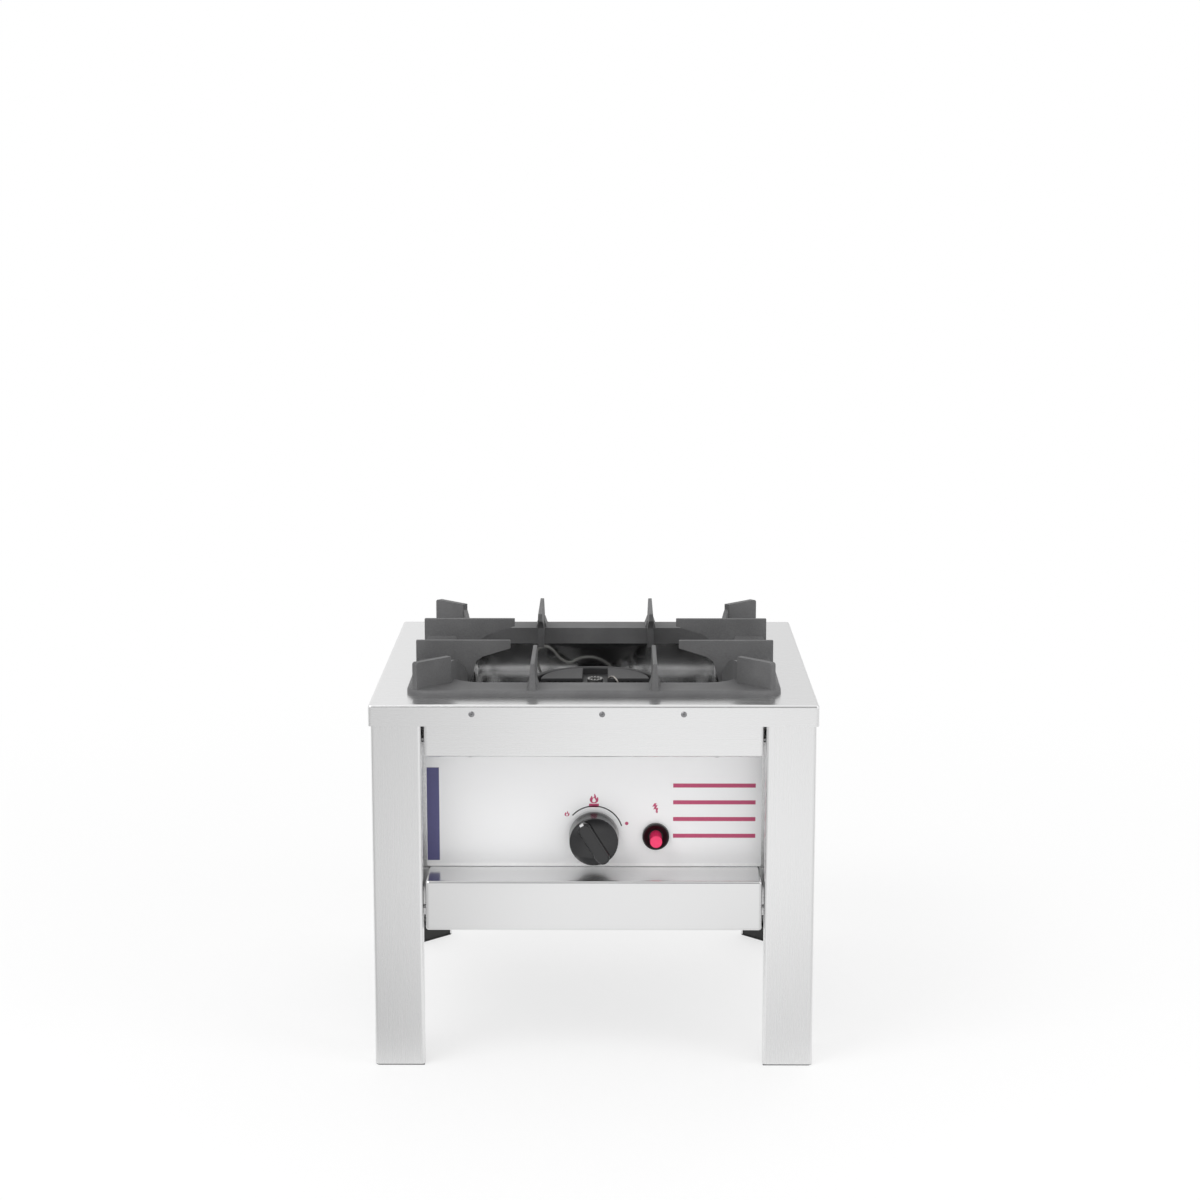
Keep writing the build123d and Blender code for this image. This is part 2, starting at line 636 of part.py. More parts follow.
with BuildPart() as burner_head:
    with BuildSketch(Plane.XY.offset(HEAD_SEAT)):
        Circle(HEAD_RADIUS)
    extrude(amount=HEAD_PLATE)
    with BuildSketch(Plane.XY.offset(HEAD_SEAT)):
        add(petal_chamber)
        mirror(petal_chamber, about=Plane.YZ)
    extrude(amount=HEAD_PLATE, mode=Mode.SUBTRACT)
    add(rear_petal.part)
    mirror(rear_petal.part, about=Plane.YZ)
    with BuildSketch(Plane.XY.offset(HEAD_LEVEL)):
        Circle(PETAL_RADIUS)
        with Locations((0, -CROWN_BACK - PETAL_RADIUS)):
            Rectangle(2 * PETAL_RADIUS, 2 * PETAL_RADIUS, mode=Mode.INTERSECT)
    extrude(amount=CROWN_TOP - HEAD_LEVEL)
    with Locations((0, -(CROWN_BACK + CROWN_FRONT) / 2, HEAD_LEVEL)):
        with GridLocations(PORT_PITCH, PORT_PITCH, 9, 1):
            Cylinder(PORT, 4 * HEAD_PLATE, mode=Mode.SUBTRACT)
    with Locations((*ELECTRODE_AT, HEAD_LEVEL)):
        Cylinder(ELECTRODE_WELL, 4 * HEAD_PLATE, mode=Mode.SUBTRACT)
    with Locations((*PROBE_AT, HEAD_LEVEL)):
        Cylinder(PROBE_WELL, 4 * HEAD_PLATE, mode=Mode.SUBTRACT)
    with Locations((0, 0, HEAD_LEVEL)):
        Cylinder(BOLT_RADIUS + SLIP, 4 * HEAD_PLATE, mode=Mode.SUBTRACT)
    for angle in LUG_ANGLES:
        lug = Vector(LUG_RADIUS, 0).rotate(Axis.Z, angle)
        with Locations((lug.X, lug.Y, HEAD_SEAT)):
            Cylinder(HEAD_SCREW, 2 * HEAD_PLATE, mode=Mode.SUBTRACT)
burner_head.part.label = "burner_head"
export_step(burner_head.part, "parts/burner_head.step")

# Hub: a small beaded ring round the centre bolt
HUB_OUT = 7.5
HUB_IN = 5.2
HUB_TOP = BURNER_TOP + 0.8
HUB_WALL_TOP = HUB_TOP - 1.2
BEADS = 12
BEAD = 1.4
HUB_BOLT_FLAT = 4.0
HUB_BOLT_HEIGHT = 4.0
HUB_BOLT_EDGE = 0.5
HUB_BOLT_LENGTH = 14.0
HEAD_SCREW_CAP = 2.4

with BuildPart() as burner_hub:
    with BuildSketch(Plane.XY.offset(HEAD_LEVEL)):
        Circle(HUB_OUT)
        Circle(HUB_IN, mode=Mode.SUBTRACT)
    extrude(amount=HUB_WALL_TOP - HEAD_LEVEL)
    with Locations((0, 0, HUB_TOP - BEAD)):
        with PolarLocations((HUB_OUT + HUB_IN) / 2, BEADS):
            Sphere(BEAD)
burner_hub.part.label = "burner_hub"
export_step(burner_hub.part, "parts/burner_hub.step")

with BuildPart() as hub_bolt:
    with BuildSketch(Plane.XY.offset(HEAD_LEVEL)):
        RegularPolygon(radius=HUB_BOLT_FLAT, side_count=6, major_radius=False)
    extrude(amount=HUB_BOLT_HEIGHT)
    chamfer(hub_bolt.faces().sort_by(Axis.Z)[-1].edges(), length=HUB_BOLT_EDGE)
    with BuildSketch(Plane.XY.offset(HEAD_LEVEL)):
        Circle(BOLT_RADIUS)
    extrude(amount=-HUB_BOLT_LENGTH)
hub_bolt.part.label = "hub_bolt"
export_step(hub_bolt.part, "parts/hub_bolt.step")

# Screws up through the lugs into the head
with BuildPart() as burner_screws:
    for angle in LUG_ANGLES:
        lug = Vector(LUG_RADIUS, 0).rotate(Axis.Z, angle)
        with BuildSketch(Plane.XY.offset(LUG_BASE)):
            with Locations(lug):
                Circle(PAN_HEAD)
        extrude(amount=-HEAD_SCREW_CAP)
        with BuildSketch(Plane.XY.offset(LUG_BASE)):
            with Locations(lug):
                Circle(HEAD_SCREW)
        extrude(amount=HEAD_LEVEL - 0.5 - LUG_BASE)
burner_screws.part.label = "burner_screws"
export_step(burner_screws.part, "parts/burner_screws.step")

# Nut that clamps the neck under the pan floor
NECK_NUT = 6.0
NECK_NUT_FLAT = 23.0
NUT_EDGE = 1.0

with BuildPart() as neck_nut:
    with BuildSketch(Plane.XY.offset(PAN_UNDER)):
        RegularPolygon(radius=NECK_NUT_FLAT, side_count=6, major_radius=False)
        Circle(NECK_RADIUS + SNUG, mode=Mode.SUBTRACT)
    extrude(amount=-NECK_NUT)
    chamfer(neck_nut.faces().sort_by(Axis.Z)[0].outer_wire().edges(), length=NUT_EDGE)
neck_nut.part.label = "neck_nut"
export_step(neck_nut.part, "parts/neck_nut.step")

# Mixer: a cast elbow on the neck and a straight throat that opens in a bell mouth
ELBOW_RADIUS = 21.0
ELBOW_TOP = PAN_UNDER - NECK_NUT - 1.0
ELBOW_BOTTOM = AXIS_Z - 18.0
THROAT_OUT = 13.5
THROAT_BORE = 10.5
BELL_START = 76.0
BELL_END = 90.0
BELL_OUT = 20.0
MIXER_HUB = 8.0
MIXER_HUB_BORE = 6.0
MIXER_HUB_LENGTH = 4.0
ELBOW_ROUND = 9.0
BELL_LIP = 2.0
BELL_WALL = 2.5
AIR_PORT_RADIUS = 13.4
AIR_PORT = 3.6

with BuildPart() as mixer_tube:
    with BuildSketch(Plane.XY.offset(ELBOW_BOTTOM)):
        Circle(ELBOW_RADIUS)
    extrude(amount=ELBOW_TOP - ELBOW_BOTTOM)
    fillet(mixer_tube.faces().sort_by(Axis.Z)[0].edges(), radius=ELBOW_ROUND)
    with BuildSketch(Plane.YZ):
        Polygon(
            (0, AXIS_Z),
            (0, AXIS_Z + THROAT_OUT),
            (-BELL_START, AXIS_Z + THROAT_OUT),
            (-BELL_END + BELL_LIP, AXIS_Z + BELL_OUT),
            (-BELL_END, AXIS_Z + BELL_OUT),
            (-BELL_END, AXIS_Z),
            align=None,
        )
    revolve(axis=Axis((0, 0, AXIS_Z), (0, 1, 0)))
    with BuildSketch(Plane.YZ):
        Polygon(
            (0, AXIS_Z),
            (0, AXIS_Z + THROAT_BORE),
            (-BELL_START + 2 * BELL_LIP, AXIS_Z + THROAT_BORE),
            (-BELL_END + BELL_LIP, AXIS_Z + BELL_OUT - BELL_WALL),
            (-BELL_END + BELL_LIP, AXIS_Z),
            align=None,
        )
    revolve(axis=Axis((0, 0, AXIS_Z), (0, 1, 0)), mode=Mode.SUBTRACT)
    with BuildSketch(Plane.XY.offset(NECK_BOTTOM - 0.2)):
        Circle(NECK_RADIUS + SLIP)
    extrude(amount=30, mode=Mode.SUBTRACT)
    with BuildSketch(Plane.XY.offset(AXIS_Z - 12)):
        Circle(NECK_BORE)
    extrude(amount=40, mode=Mode.SUBTRACT)
    with BuildSketch(axis_plane(0, -BELL_END, AXIS_Z)):
        with PolarLocations(AIR_PORT_RADIUS, 4, start_angle=45):
            Circle(AIR_PORT)
    extrude(amount=-BELL_LIP - 1, mode=Mode.SUBTRACT)
    with BuildSketch(axis_plane(0, -BELL_END, AXIS_Z)):
        Circle(MIXER_HUB)
    extrude(amount=MIXER_HUB_LENGTH)
    with BuildSketch(axis_plane(0, -BELL_END - MIXER_HUB_LENGTH, AXIS_Z)):
        Circle(MIXER_HUB_BORE)
    extrude(amount=-MIXER_HUB_LENGTH - BELL_LIP - 1, mode=Mode.SUBTRACT)
mixer_tube.part.label = "mixer_tube"
export_step(mixer_tube.part, "parts/mixer_tube.step")

# Air shutter: a disc with four windows that turns on the mixer's hub
SHUTTER = 2.0
SHUTTER_GAP = 0.3
SHUTTER_TAB = (9.0, 16.0)
CLIP = 1.0
CLIP_WIDTH = 2.5
CLIP_SLOT = (5.0, 8.0)

with BuildPart() as air_shutter:
    with BuildSketch(axis_plane(0, -BELL_END - SHUTTER_GAP, AXIS_Z)):
        Circle(BELL_OUT)
        with Locations((0, -BELL_OUT)):
            Rectangle(*SHUTTER_TAB)
        Circle(MIXER_HUB + SNUG, mode=Mode.SUBTRACT)
        with PolarLocations(AIR_PORT_RADIUS, 4, start_angle=45):
            Circle(AIR_PORT, mode=Mode.SUBTRACT)
    extrude(amount=SHUTTER)
air_shutter.part.label = "air_shutter"
export_step(air_shutter.part, "parts/air_shutter.step")

CLIP_START = BELL_END + SHUTTER + 2 * SHUTTER_GAP

with BuildPart() as shutter_clip:
    with BuildSketch(axis_plane(0, -CLIP_START, AXIS_Z)):
        Circle(MIXER_HUB + CLIP_WIDTH)
        Circle(MIXER_HUB, mode=Mode.SUBTRACT)
        with Locations((0, MIXER_HUB)):
            Rectangle(*CLIP_SLOT, mode=Mode.SUBTRACT)
    extrude(amount=CLIP)
shutter_clip.part.label = "shutter_clip"
export_step(shutter_clip.part, "parts/shutter_clip.step")

# Gas valve: body, bonnet, a plug that turns in it, and a spindle that slides in the plug
VALVE_REAR = 108.0
VALVE_FRONT = 132.0
VALVE_HALF = 14.0
PLUG_RADIUS = 8.0
PLUG_REAR = 112.0
INLET_PORT_Y = 120.0
INLET_BOSS_END = 24.0
PIPE_RADIUS = 5.0
BONNET_FRONT = PANEL_Y - SHEET
BONNET_FLANGE = 2.5
BONNET_RADIUS = 11.0
BONNET_BORE = 7.0
SPINDLE_RADIUS = 4.0
BONNET_SCREW = 10.5
BONNET_SCREW_RADIUS = 1.5
VALVE_CORNER = 3.0
OUTLET_BOSS = 9.0
OUTLET_LENGTH = 4.0
INLET_BOSS = 8.5
PIPE_SOCKET = 8.0
GAS_WAY = 3.0
BONNET_THREAD = 9.0
BONNET_SCREW_LENGTH = 10.0

with BuildPart() as gas_valve_body:
    with BuildSketch(axis_plane(0, -VALVE_REAR, AXIS_Z)):
        RectangleRounded(2 * VALVE_HALF, 2 * VALVE_HALF, VALVE_CORNER)
    extrude(amount=VALVE_FRONT - VALVE_REAR)
    with BuildSketch(axis_plane(0, -VALVE_REAR, AXIS_Z)):
        Circle(OUTLET_BOSS)
    extrude(amount=-OUTLET_LENGTH)
    with BuildSketch(Plane(origin=(-VALVE_HALF, -INLET_PORT_Y, AXIS_Z), z_dir=(-1, 0, 0))):
        Circle(INLET_BOSS)
    extrude(amount=INLET_BOSS_END - VALVE_HALF)
    with BuildSketch(axis_plane(0, -PLUG_REAR + 0.5, AXIS_Z)):
        Circle(PLUG_RADIUS + SNUG)
    extrude(amount=VALVE_FRONT, mode=Mode.SUBTRACT)
    with BuildSketch(axis_plane(0, -VALVE_REAR + OUTLET_LENGTH, AXIS_Z)):
        Circle(GAS_WAY)
    extrude(amount=VALVE_FRONT - VALVE_REAR, mode=Mode.SUBTRACT)
    with BuildSketch(Plane(origin=(-INLET_BOSS_END, -INLET_PORT_Y, AXIS_Z), z_dir=(1, 0, 0))):
        Circle(PIPE_RADIUS + SNUG)
    extrude(amount=PIPE_SOCKET, mode=Mode.SUBTRACT)
    with BuildSketch(Plane(origin=(-INLET_BOSS_END, -INLET_PORT_Y, AXIS_Z), z_dir=(1, 0, 0))):
        Circle(GAS_WAY)
    extrude(amount=INLET_BOSS_END - GAS_WAY, mode=Mode.SUBTRACT)
    with BuildSketch(axis_plane(0, -VALVE_FRONT, AXIS_Z)):
        with GridLocations(2 * BONNET_SCREW, 2 * BONNET_SCREW, 2, 2):
            Circle(BONNET_SCREW_RADIUS)
    extrude(amount=-BONNET_THREAD, mode=Mode.SUBTRACT)
gas_valve_body.part.label = "gas_valve_body"
export_step(gas_valve_body.part, "parts/gas_valve_body.step")

BONNET_PLATE = 2.5
BONNET_WALL = 2.0
BONNET_SLOT = 11.0
BONNET_SCREW_HEAD = 2.6
VALVE_SCREW = 1.9
VALVE_SCREW_HEAD = 3.5
VALVE_SCREW_HEIGHT = 1.6
VALVE_SCREW_LENGTH = 7.0

with BuildPart() as valve_bonnet:
    with BuildSketch(axis_plane(0, -VALVE_FRONT, AXIS_Z)):
        RectangleRounded(2 * VALVE_HALF, 2 * VALVE_HALF, VALVE_CORNER)
    extrude(amount=BONNET_PLATE)
    with BuildSketch(axis_plane(0, -VALVE_FRONT, AXIS_Z)):
        Circle(BONNET_RADIUS)
    extrude(amount=BONNET_FRONT - VALVE_FRONT)
    with BuildSketch(axis_plane(0, -BONNET_FRONT, AXIS_Z)):
        SlotCenterToCenter(2 * VALVE_SCREW_X, BONNET_SLOT)
    extrude(amount=-BONNET_FLANGE)
    with BuildSketch(axis_plane(0, -VALVE_FRONT, AXIS_Z)):
        Circle(BONNET_BORE)
    extrude(amount=BONNET_FRONT - VALVE_FRONT - BONNET_WALL, mode=Mode.SUBTRACT)
    with BuildSketch(axis_plane(0, -VALVE_FRONT, AXIS_Z)):
        Circle(SPINDLE_RADIUS + 3 * SLIP)
    extrude(amount=BONNET_FRONT - VALVE_FRONT, mode=Mode.SUBTRACT)
    with BuildSketch(axis_plane(0, -BONNET_FRONT, AXIS_Z)):
        with Locations((-VALVE_SCREW_X, 0), (VALVE_SCREW_X, 0)):
            Circle(VALVE_SCREW)
    extrude(amount=-BONNET_FLANGE, mode=Mode.SUBTRACT)
    with BuildSketch(axis_plane(0, -VALVE_FRONT, AXIS_Z)):
        with GridLocations(2 * BONNET_SCREW, 2 * BONNET_SCREW, 2, 2):
            Circle(BONNET_SCREW_RADIUS + SLIP)
    extrude(amount=BONNET_PLATE, mode=Mode.SUBTRACT)
valve_bonnet.part.label = "valve_bonnet"
export_step(valve_bonnet.part, "parts/valve_bonnet.step")

with BuildPart() as bonnet_screws:
    with BuildSketch(axis_plane(0, -VALVE_FRONT - BONNET_PLATE, AXIS_Z)):
        with GridLocations(2 * BONNET_SCREW, 2 * BONNET_SCREW, 2, 2):
            Circle(BONNET_SCREW_HEAD)
    extrude(amount=PAN_HEAD_HEIGHT)
    with BuildSketch(axis_plane(0, -VALVE_FRONT - BONNET_PLATE, AXIS_Z)):
        with GridLocations(2 * BONNET_SCREW, 2 * BONNET_SCREW, 2, 2):
            Circle(BONNET_SCREW_RADIUS)
    extrude(amount=-BONNET_SCREW_LENGTH)
bonnet_screws.part.label = "bonnet_screws"
export_step(bonnet_screws.part, "parts/bonnet_screws.step")

with BuildPart() as valve_screws:
    with BuildSketch(axis_plane(0, -PANEL_Y, AXIS_Z)):
        with Locations((-VALVE_SCREW_X, 0), (VALVE_SCREW_X, 0)):
            Circle(VALVE_SCREW_HEAD)
    extrude(amount=VALVE_SCREW_HEIGHT)
    with BuildSketch(axis_plane(0, -PANEL_Y, AXIS_Z)):
        with Locations((-VALVE_SCREW_X, 0), (VALVE_SCREW_X, 0)):
            Circle(VALVE_SCREW)
    extrude(amount=-VALVE_SCREW_LENGTH)
valve_screws.part.label = "valve_screws"
export_step(valve_screws.part, "parts/valve_screws.step")

PLUG_SOCKET = 118.5
SPINDLE_REAR = 124.0
SPINDLE_FRONT = 176.0
COLLAR_FRONT = BONNET_FRONT - BONNET_WALL - 0.3
COLLAR = 1.6
COLLAR_RADIUS = BONNET_BORE - 0.5
PLUG_FRONT = VALVE_FRONT - 0.5
PLUG_WAY = 2.5
PLUG_WAY_DEPTH = 5.0
FLAT_DEPTH = 1.5
FLAT_LENGTH = 15.0
SPINDLE_EDGE = 0.5

with BuildPart() as valve_plug:
    with BuildSketch(axis_plane(0, -PLUG_REAR, AXIS_Z)):
        Circle(PLUG_RADIUS)
    extrude(amount=PLUG_FRONT - PLUG_REAR)
    with BuildSketch(axis_plane(0, -PLUG_SOCKET, AXIS_Z)):
        Circle(SPINDLE_RADIUS + SNUG)
    extrude(amount=VALVE_FRONT - PLUG_SOCKET, mode=Mode.SUBTRACT)
    with BuildSketch(axis_plane(0, -PLUG_REAR, AXIS_Z)):
        Circle(PLUG_WAY)
    extrude(amount=PLUG_WAY_DEPTH, mode=Mode.SUBTRACT)
valve_plug.part.label = "valve_plug"
export_step(valve_plug.part, "parts/valve_plug.step")

with BuildPart() as valve_spindle:
    with BuildSketch(axis_plane(0, -SPINDLE_REAR, AXIS_Z)):
        Circle(SPINDLE_RADIUS)
    extrude(amount=SPINDLE_FRONT - SPINDLE_REAR)
    with BuildSketch(axis_plane(0, -COLLAR_FRONT, AXIS_Z)):
        Circle(COLLAR_RADIUS)
    extrude(amount=-COLLAR)
    with BuildSketch(axis_plane(0, -SPINDLE_FRONT, AXIS_Z)):
        with Locations((0, -SPINDLE_RADIUS)):
            Rectangle(2 * SPINDLE_RADIUS, 2 * FLAT_DEPTH)
    extrude(amount=-FLAT_LENGTH, mode=Mode.SUBTRACT)
    chamfer(valve_spindle.faces().sort_by(Axis.Y)[0].edges(), length=SPINDLE_EDGE)
valve_spindle.part.label = "valve_spindle"
export_step(valve_spindle.part, "parts/valve_spindle.step")


def coil_spring(mean_radius, wire, length, turns):
    """Compression spring along +Z from the origin, as one helical wire."""
    with BuildPart() as spring:
        with BuildLine() as path:
            Helix(pitch=(length - 2 * wire) / turns, height=length - 2 * wire, radius=mean_radius)
        with BuildSketch(Plane(origin=path.line @ 0, z_dir=path.line % 0)):
            Circle(wire / 2)
        sweep()
    return spring.part


SPRING_WIRE = 0.8
SPRING_FRONT = COLLAR_FRONT - COLLAR - 0.2
SPRING_LENGTH = SPRING_FRONT - VALVE_FRONT
PUSH_COIL = 5.4
COIL_TURNS = 5

push_coil = coil_spring(PUSH_COIL, SPRING_WIRE, SPRING_LENGTH, COIL_TURNS)

with BuildPart() as push_spring:
    add(Pos(0, -VALVE_FRONT - SPRING_WIRE, AXIS_Z) * Rot(90, 0, 0) * push_coil)
push_spring.part.label = "push_spring"
export_step(push_spring.part, "parts/push_spring.step")

# Knob: a deep round body with a crowned face and a raised grip across it
KNOB_RADIUS = 22.8
KNOB_BACK = PANEL_Y + 6.0
KNOB_EDGE = 19.5
KNOB_CROWN = 3.5
KNOB_DRAFT = 0.8
KNOB_ROUND = 1.2
KNOB_DEPTH = 28.0
KNOB_HOLLOW = 6.0
KNOB_WALL = 2.2
KNOB_BOSS = 6.5
GRIP_LENGTH = 43.0
GRIP_WIDTH = 13.0
GRIP_ROUND = 2.4
GRIP_ANGLE = 122.0

with BuildPart() as knob:
    with BuildSketch(Plane(origin=(0, -KNOB_BACK, AXIS_Z), x_dir=(1, 0, 0), z_dir=(0, 0, 1))) as half:
        with BuildLine():
            Polyline(
                (0, -KNOB_EDGE - KNOB_CROWN),
                (0, 0),
                (KNOB_RADIUS, 0),
                (KNOB_RADIUS - KNOB_DRAFT, -KNOB_EDGE),
            )
            ThreePointArc(
                (KNOB_RADIUS - KNOB_DRAFT, -KNOB_EDGE),
                (KNOB_RADIUS / 2, -KNOB_EDGE - 0.75 * KNOB_CROWN),
                (0, -KNOB_EDGE - KNOB_CROWN),
            )
        make_face()
        fillet(
            half.vertices().sort_by_distance((KNOB_RADIUS - KNOB_DRAFT, -KNOB_EDGE, 0))[0],
            radius=KNOB_ROUND,
        )
    revolve(axis=Axis((0, -KNOB_BACK, AXIS_Z), (0, 1, 0)))
    with BuildSketch(axis_plane(0, -KNOB_BACK, AXIS_Z)):
        with Locations(Location((0, 0), GRIP_ANGLE)):
            SlotOverall(GRIP_LENGTH, GRIP_WIDTH)
    extrude(amount=KNOB_DEPTH)
    fillet(knob.faces().sort_by(Axis.Y)[0].edges(), radius=GRIP_ROUND)
    with BuildSketch(axis_plane(0, -KNOB_BACK, AXIS_Z)):
        Circle(KNOB_RADIUS - KNOB_WALL)
        Circle(KNOB_BOSS, mode=Mode.SUBTRACT)
    extrude(amount=KNOB_HOLLOW, mode=Mode.SUBTRACT)
    with BuildSketch(axis_plane(0, -KNOB_BACK, AXIS_Z)):
        Circle(SPINDLE_RADIUS)
        with Locations((0, -SPINDLE_RADIUS)):
            Rectangle(2 * SPINDLE_RADIUS, 2 * FLAT_DEPTH, mode=Mode.SUBTRACT)
    extrude(amount=SPINDLE_FRONT - KNOB_BACK, mode=Mode.SUBTRACT)
    with BuildSketch(axis_plane(0, -KNOB_BACK, AXIS_Z)):
        Circle(SPINDLE_RADIUS)
    extrude(amount=SPINDLE_FRONT - FLAT_LENGTH - KNOB_BACK, mode=Mode.SUBTRACT)
knob.part.label = "knob"
export_step(knob.part, "parts/knob.step")

# Flame-failure magnet unit, screwed up into the valve body
MAGNET_AT = (0.0, -120.0)
MAGNET_TOP = AXIS_Z - VALVE_HALF
MAGNET_BOTTOM = 170.0
MAGNET_RADIUS = 7.0
MAGNET_FLAT = 8.5
MAGNET_HEX = 5.0
MAGNET_STUB = 4.0

with BuildPart() as magnet_unit:
    with BuildSketch(Plane.XY.offset(MAGNET_TOP)):
        with Locations(MAGNET_AT):
            Circle(MAGNET_RADIUS)
    extrude(amount=MAGNET_BOTTOM + MAGNET_HEX - MAGNET_TOP)
    with BuildSketch(Plane.XY.offset(MAGNET_TOP - 3)):
        with Locations(MAGNET_AT):
            RegularPolygon(radius=MAGNET_FLAT, side_count=6, major_radius=False)
    extrude(amount=-MAGNET_HEX)
    with BuildSketch(Plane.XY.offset(MAGNET_BOTTOM + MAGNET_HEX)):
        with Locations(MAGNET_AT):
            Circle(MAGNET_STUB)
    extrude(amount=-MAGNET_HEX)
magnet_unit.part.label = "magnet_unit"
export_step(magnet_unit.part, "parts/magnet_unit.step")

# Injector: a hexagon with a nozzle that points into the mixer, screwed into the valve
INJECTOR_SEAT = VALVE_REAR - OUTLET_LENGTH
INJECTOR_HEX = 6.0
INJECTOR_TIP = 86.0
INJECTOR_FLAT = 6.5
INJECTOR_STEM = 4.8
INJECTOR_CONE = 1.5
INJECTOR_WAY = 1.6
JET = 0.6
JET_LENGTH = 2.0

with BuildPart() as injector:
    with BuildSketch(axis_plane(0, -INJECTOR_SEAT, AXIS_Z)):
        RegularPolygon(radius=INJECTOR_FLAT, side_count=6, major_radius=False)
    extrude(amount=-INJECTOR_HEX)
    with BuildSketch(axis_plane(0, -INJECTOR_SEAT + INJECTOR_HEX, AXIS_Z)):
        Circle(INJECTOR_STEM)
    extrude(amount=-(INJECTOR_SEAT - INJECTOR_HEX - INJECTOR_TIP))
    chamfer(injector.faces().sort_by(Axis.Y)[-1].edges(), length=INJECTOR_CONE)
    with BuildSketch(axis_plane(0, -INJECTOR_SEAT, AXIS_Z)):
        Circle(GAS_WAY)
    extrude(amount=INJECTOR_HEX)
    with BuildSketch(axis_plane(0, -INJECTOR_SEAT - INJECTOR_HEX, AXIS_Z)):
        Circle(INJECTOR_WAY)
    extrude(amount=-(INJECTOR_SEAT + INJECTOR_HEX - INJECTOR_TIP - JET_LENGTH), mode=Mode.SUBTRACT)
    with BuildSketch(axis_plane(0, -INJECTOR_TIP - JET_LENGTH, AXIS_Z)):
        Circle(JET)
    extrude(amount=-JET_LENGTH, mode=Mode.SUBTRACT)
injector.part.label = "injector"
export_step(injector.part, "parts/injector.step")

# Gas pipe from the rear inlet to the valve, with a bend behind the valve
PIPE_BORE = 4.0
PIPE_END = 141.0
PIPE_BEND = 30.0
VALVE_NUT = (9.5, 10.0)
INLET_NUT = (11.0, 8.0)
INLET_NUT_Y = 124.0

with BuildPart() as gas_pipe:
    with BuildLine() as pipe_line:
        FilletPolyline(
            (-INLET_BOSS_END + PIPE_SOCKET - 0.2, -INLET_PORT_Y, AXIS_Z),
            (INLET_X, -INLET_PORT_Y, AXIS_Z),
            (INLET_X, PIPE_END, AXIS_Z),
            radius=PIPE_BEND,
        )
    with BuildSketch(Plane(origin=pipe_line.line @ 0, z_dir=pipe_line.line % 0)):
        Circle(PIPE_RADIUS)
        Circle(PIPE_BORE, mode=Mode.SUBTRACT)
    sweep()
gas_pipe.part.label = "gas_pipe"
export_step(gas_pipe.part, "parts/gas_pipe.step")

with BuildPart() as pipe_nuts:
    with BuildSketch(Plane(origin=(-INLET_BOSS_END, -INLET_PORT_Y, AXIS_Z), z_dir=(-1, 0, 0))):
        RegularPolygon(radius=VALVE_NUT[0], side_count=6, major_radius=False)
        Circle(PIPE_RADIUS + SNUG, mode=Mode.SUBTRACT)
    extrude(amount=VALVE_NUT[1])
    with BuildSketch(axis_plane(INLET_X, INLET_NUT_Y, AXIS_Z)):
        RegularPolygon(radius=INLET_NUT[0], side_count=6, major_radius=False)
        Circle(PIPE_RADIUS + SNUG, mode=Mode.SUBTRACT)
    extrude(amount=-INLET_NUT[1])
pipe_nuts.part.label = "pipe_nuts"
export_step(pipe_nuts.part, "parts/pipe_nuts.step")

# Gas inlet: a threaded fitting through the rear panel, held by a locknut
INLET_SHOULDER = 7.0
THREAD_RADIUS = 10.48
THREAD_LENGTH = 16.0
INLET_BORE = 4.5
FITTING_START = 132.0
FITTING_RADIUS = 9.0
LOCKNUT = 4.5
LOCKNUT_FLAT = 12.0
INLET_FLAT = 13.5
THREAD_EDGE = 1.0

with BuildPart() as inlet_fitting:
    with BuildSketch(axis_plane(INLET_X, FITTING_START, AXIS_Z)):
        Circle(FITTING_RADIUS)
    extrude(amount=-(PANEL_Y - FITTING_START))
    with BuildSketch(axis_plane(INLET_X, PANEL_Y, AXIS_Z)):
        RegularPolygon(radius=INLET_FLAT, side_count=6, major_radius=False)
    extrude(amount=-INLET_SHOULDER)
    with BuildSketch(axis_plane(INLET_X, PANEL_Y + INLET_SHOULDER, AXIS_Z)):
        Circle(THREAD_RADIUS)
    extrude(amount=-THREAD_LENGTH)
    chamfer(inlet_fitting.faces().sort_by(Axis.Y)[-1].edges(), length=THREAD_EDGE)
    with BuildSketch(axis_plane(INLET_X, FITTING_START, AXIS_Z)):
        Circle(INLET_BORE)
    extrude(amount=-4 * THREAD_LENGTH, mode=Mode.SUBTRACT)
    with BuildSketch(axis_plane(INLET_X, FITTING_START, AXIS_Z)):
        Circle(PIPE_RADIUS + SNUG)
    extrude(amount=-(PIPE_END + 2 * SLIP - FITTING_START), mode=Mode.SUBTRACT)
inlet_fitting.part.label = "inlet_fitting"
export_step(inlet_fitting.part, "parts/inlet_fitting.step")

with BuildPart() as inlet_locknut:
    with BuildSketch(axis_plane(INLET_X, PANEL_Y - SHEET, AXIS_Z)):
        RegularPolygon(radius=LOCKNUT_FLAT, side_count=6, major_radius=False)
        Circle(FITTING_RADIUS + SNUG, mode=Mode.SUBTRACT)
    extrude(amount=LOCKNUT)
inlet_locknut.part.label = "inlet_locknut"
export_step(inlet_locknut.part, "parts/inlet_locknut.step")

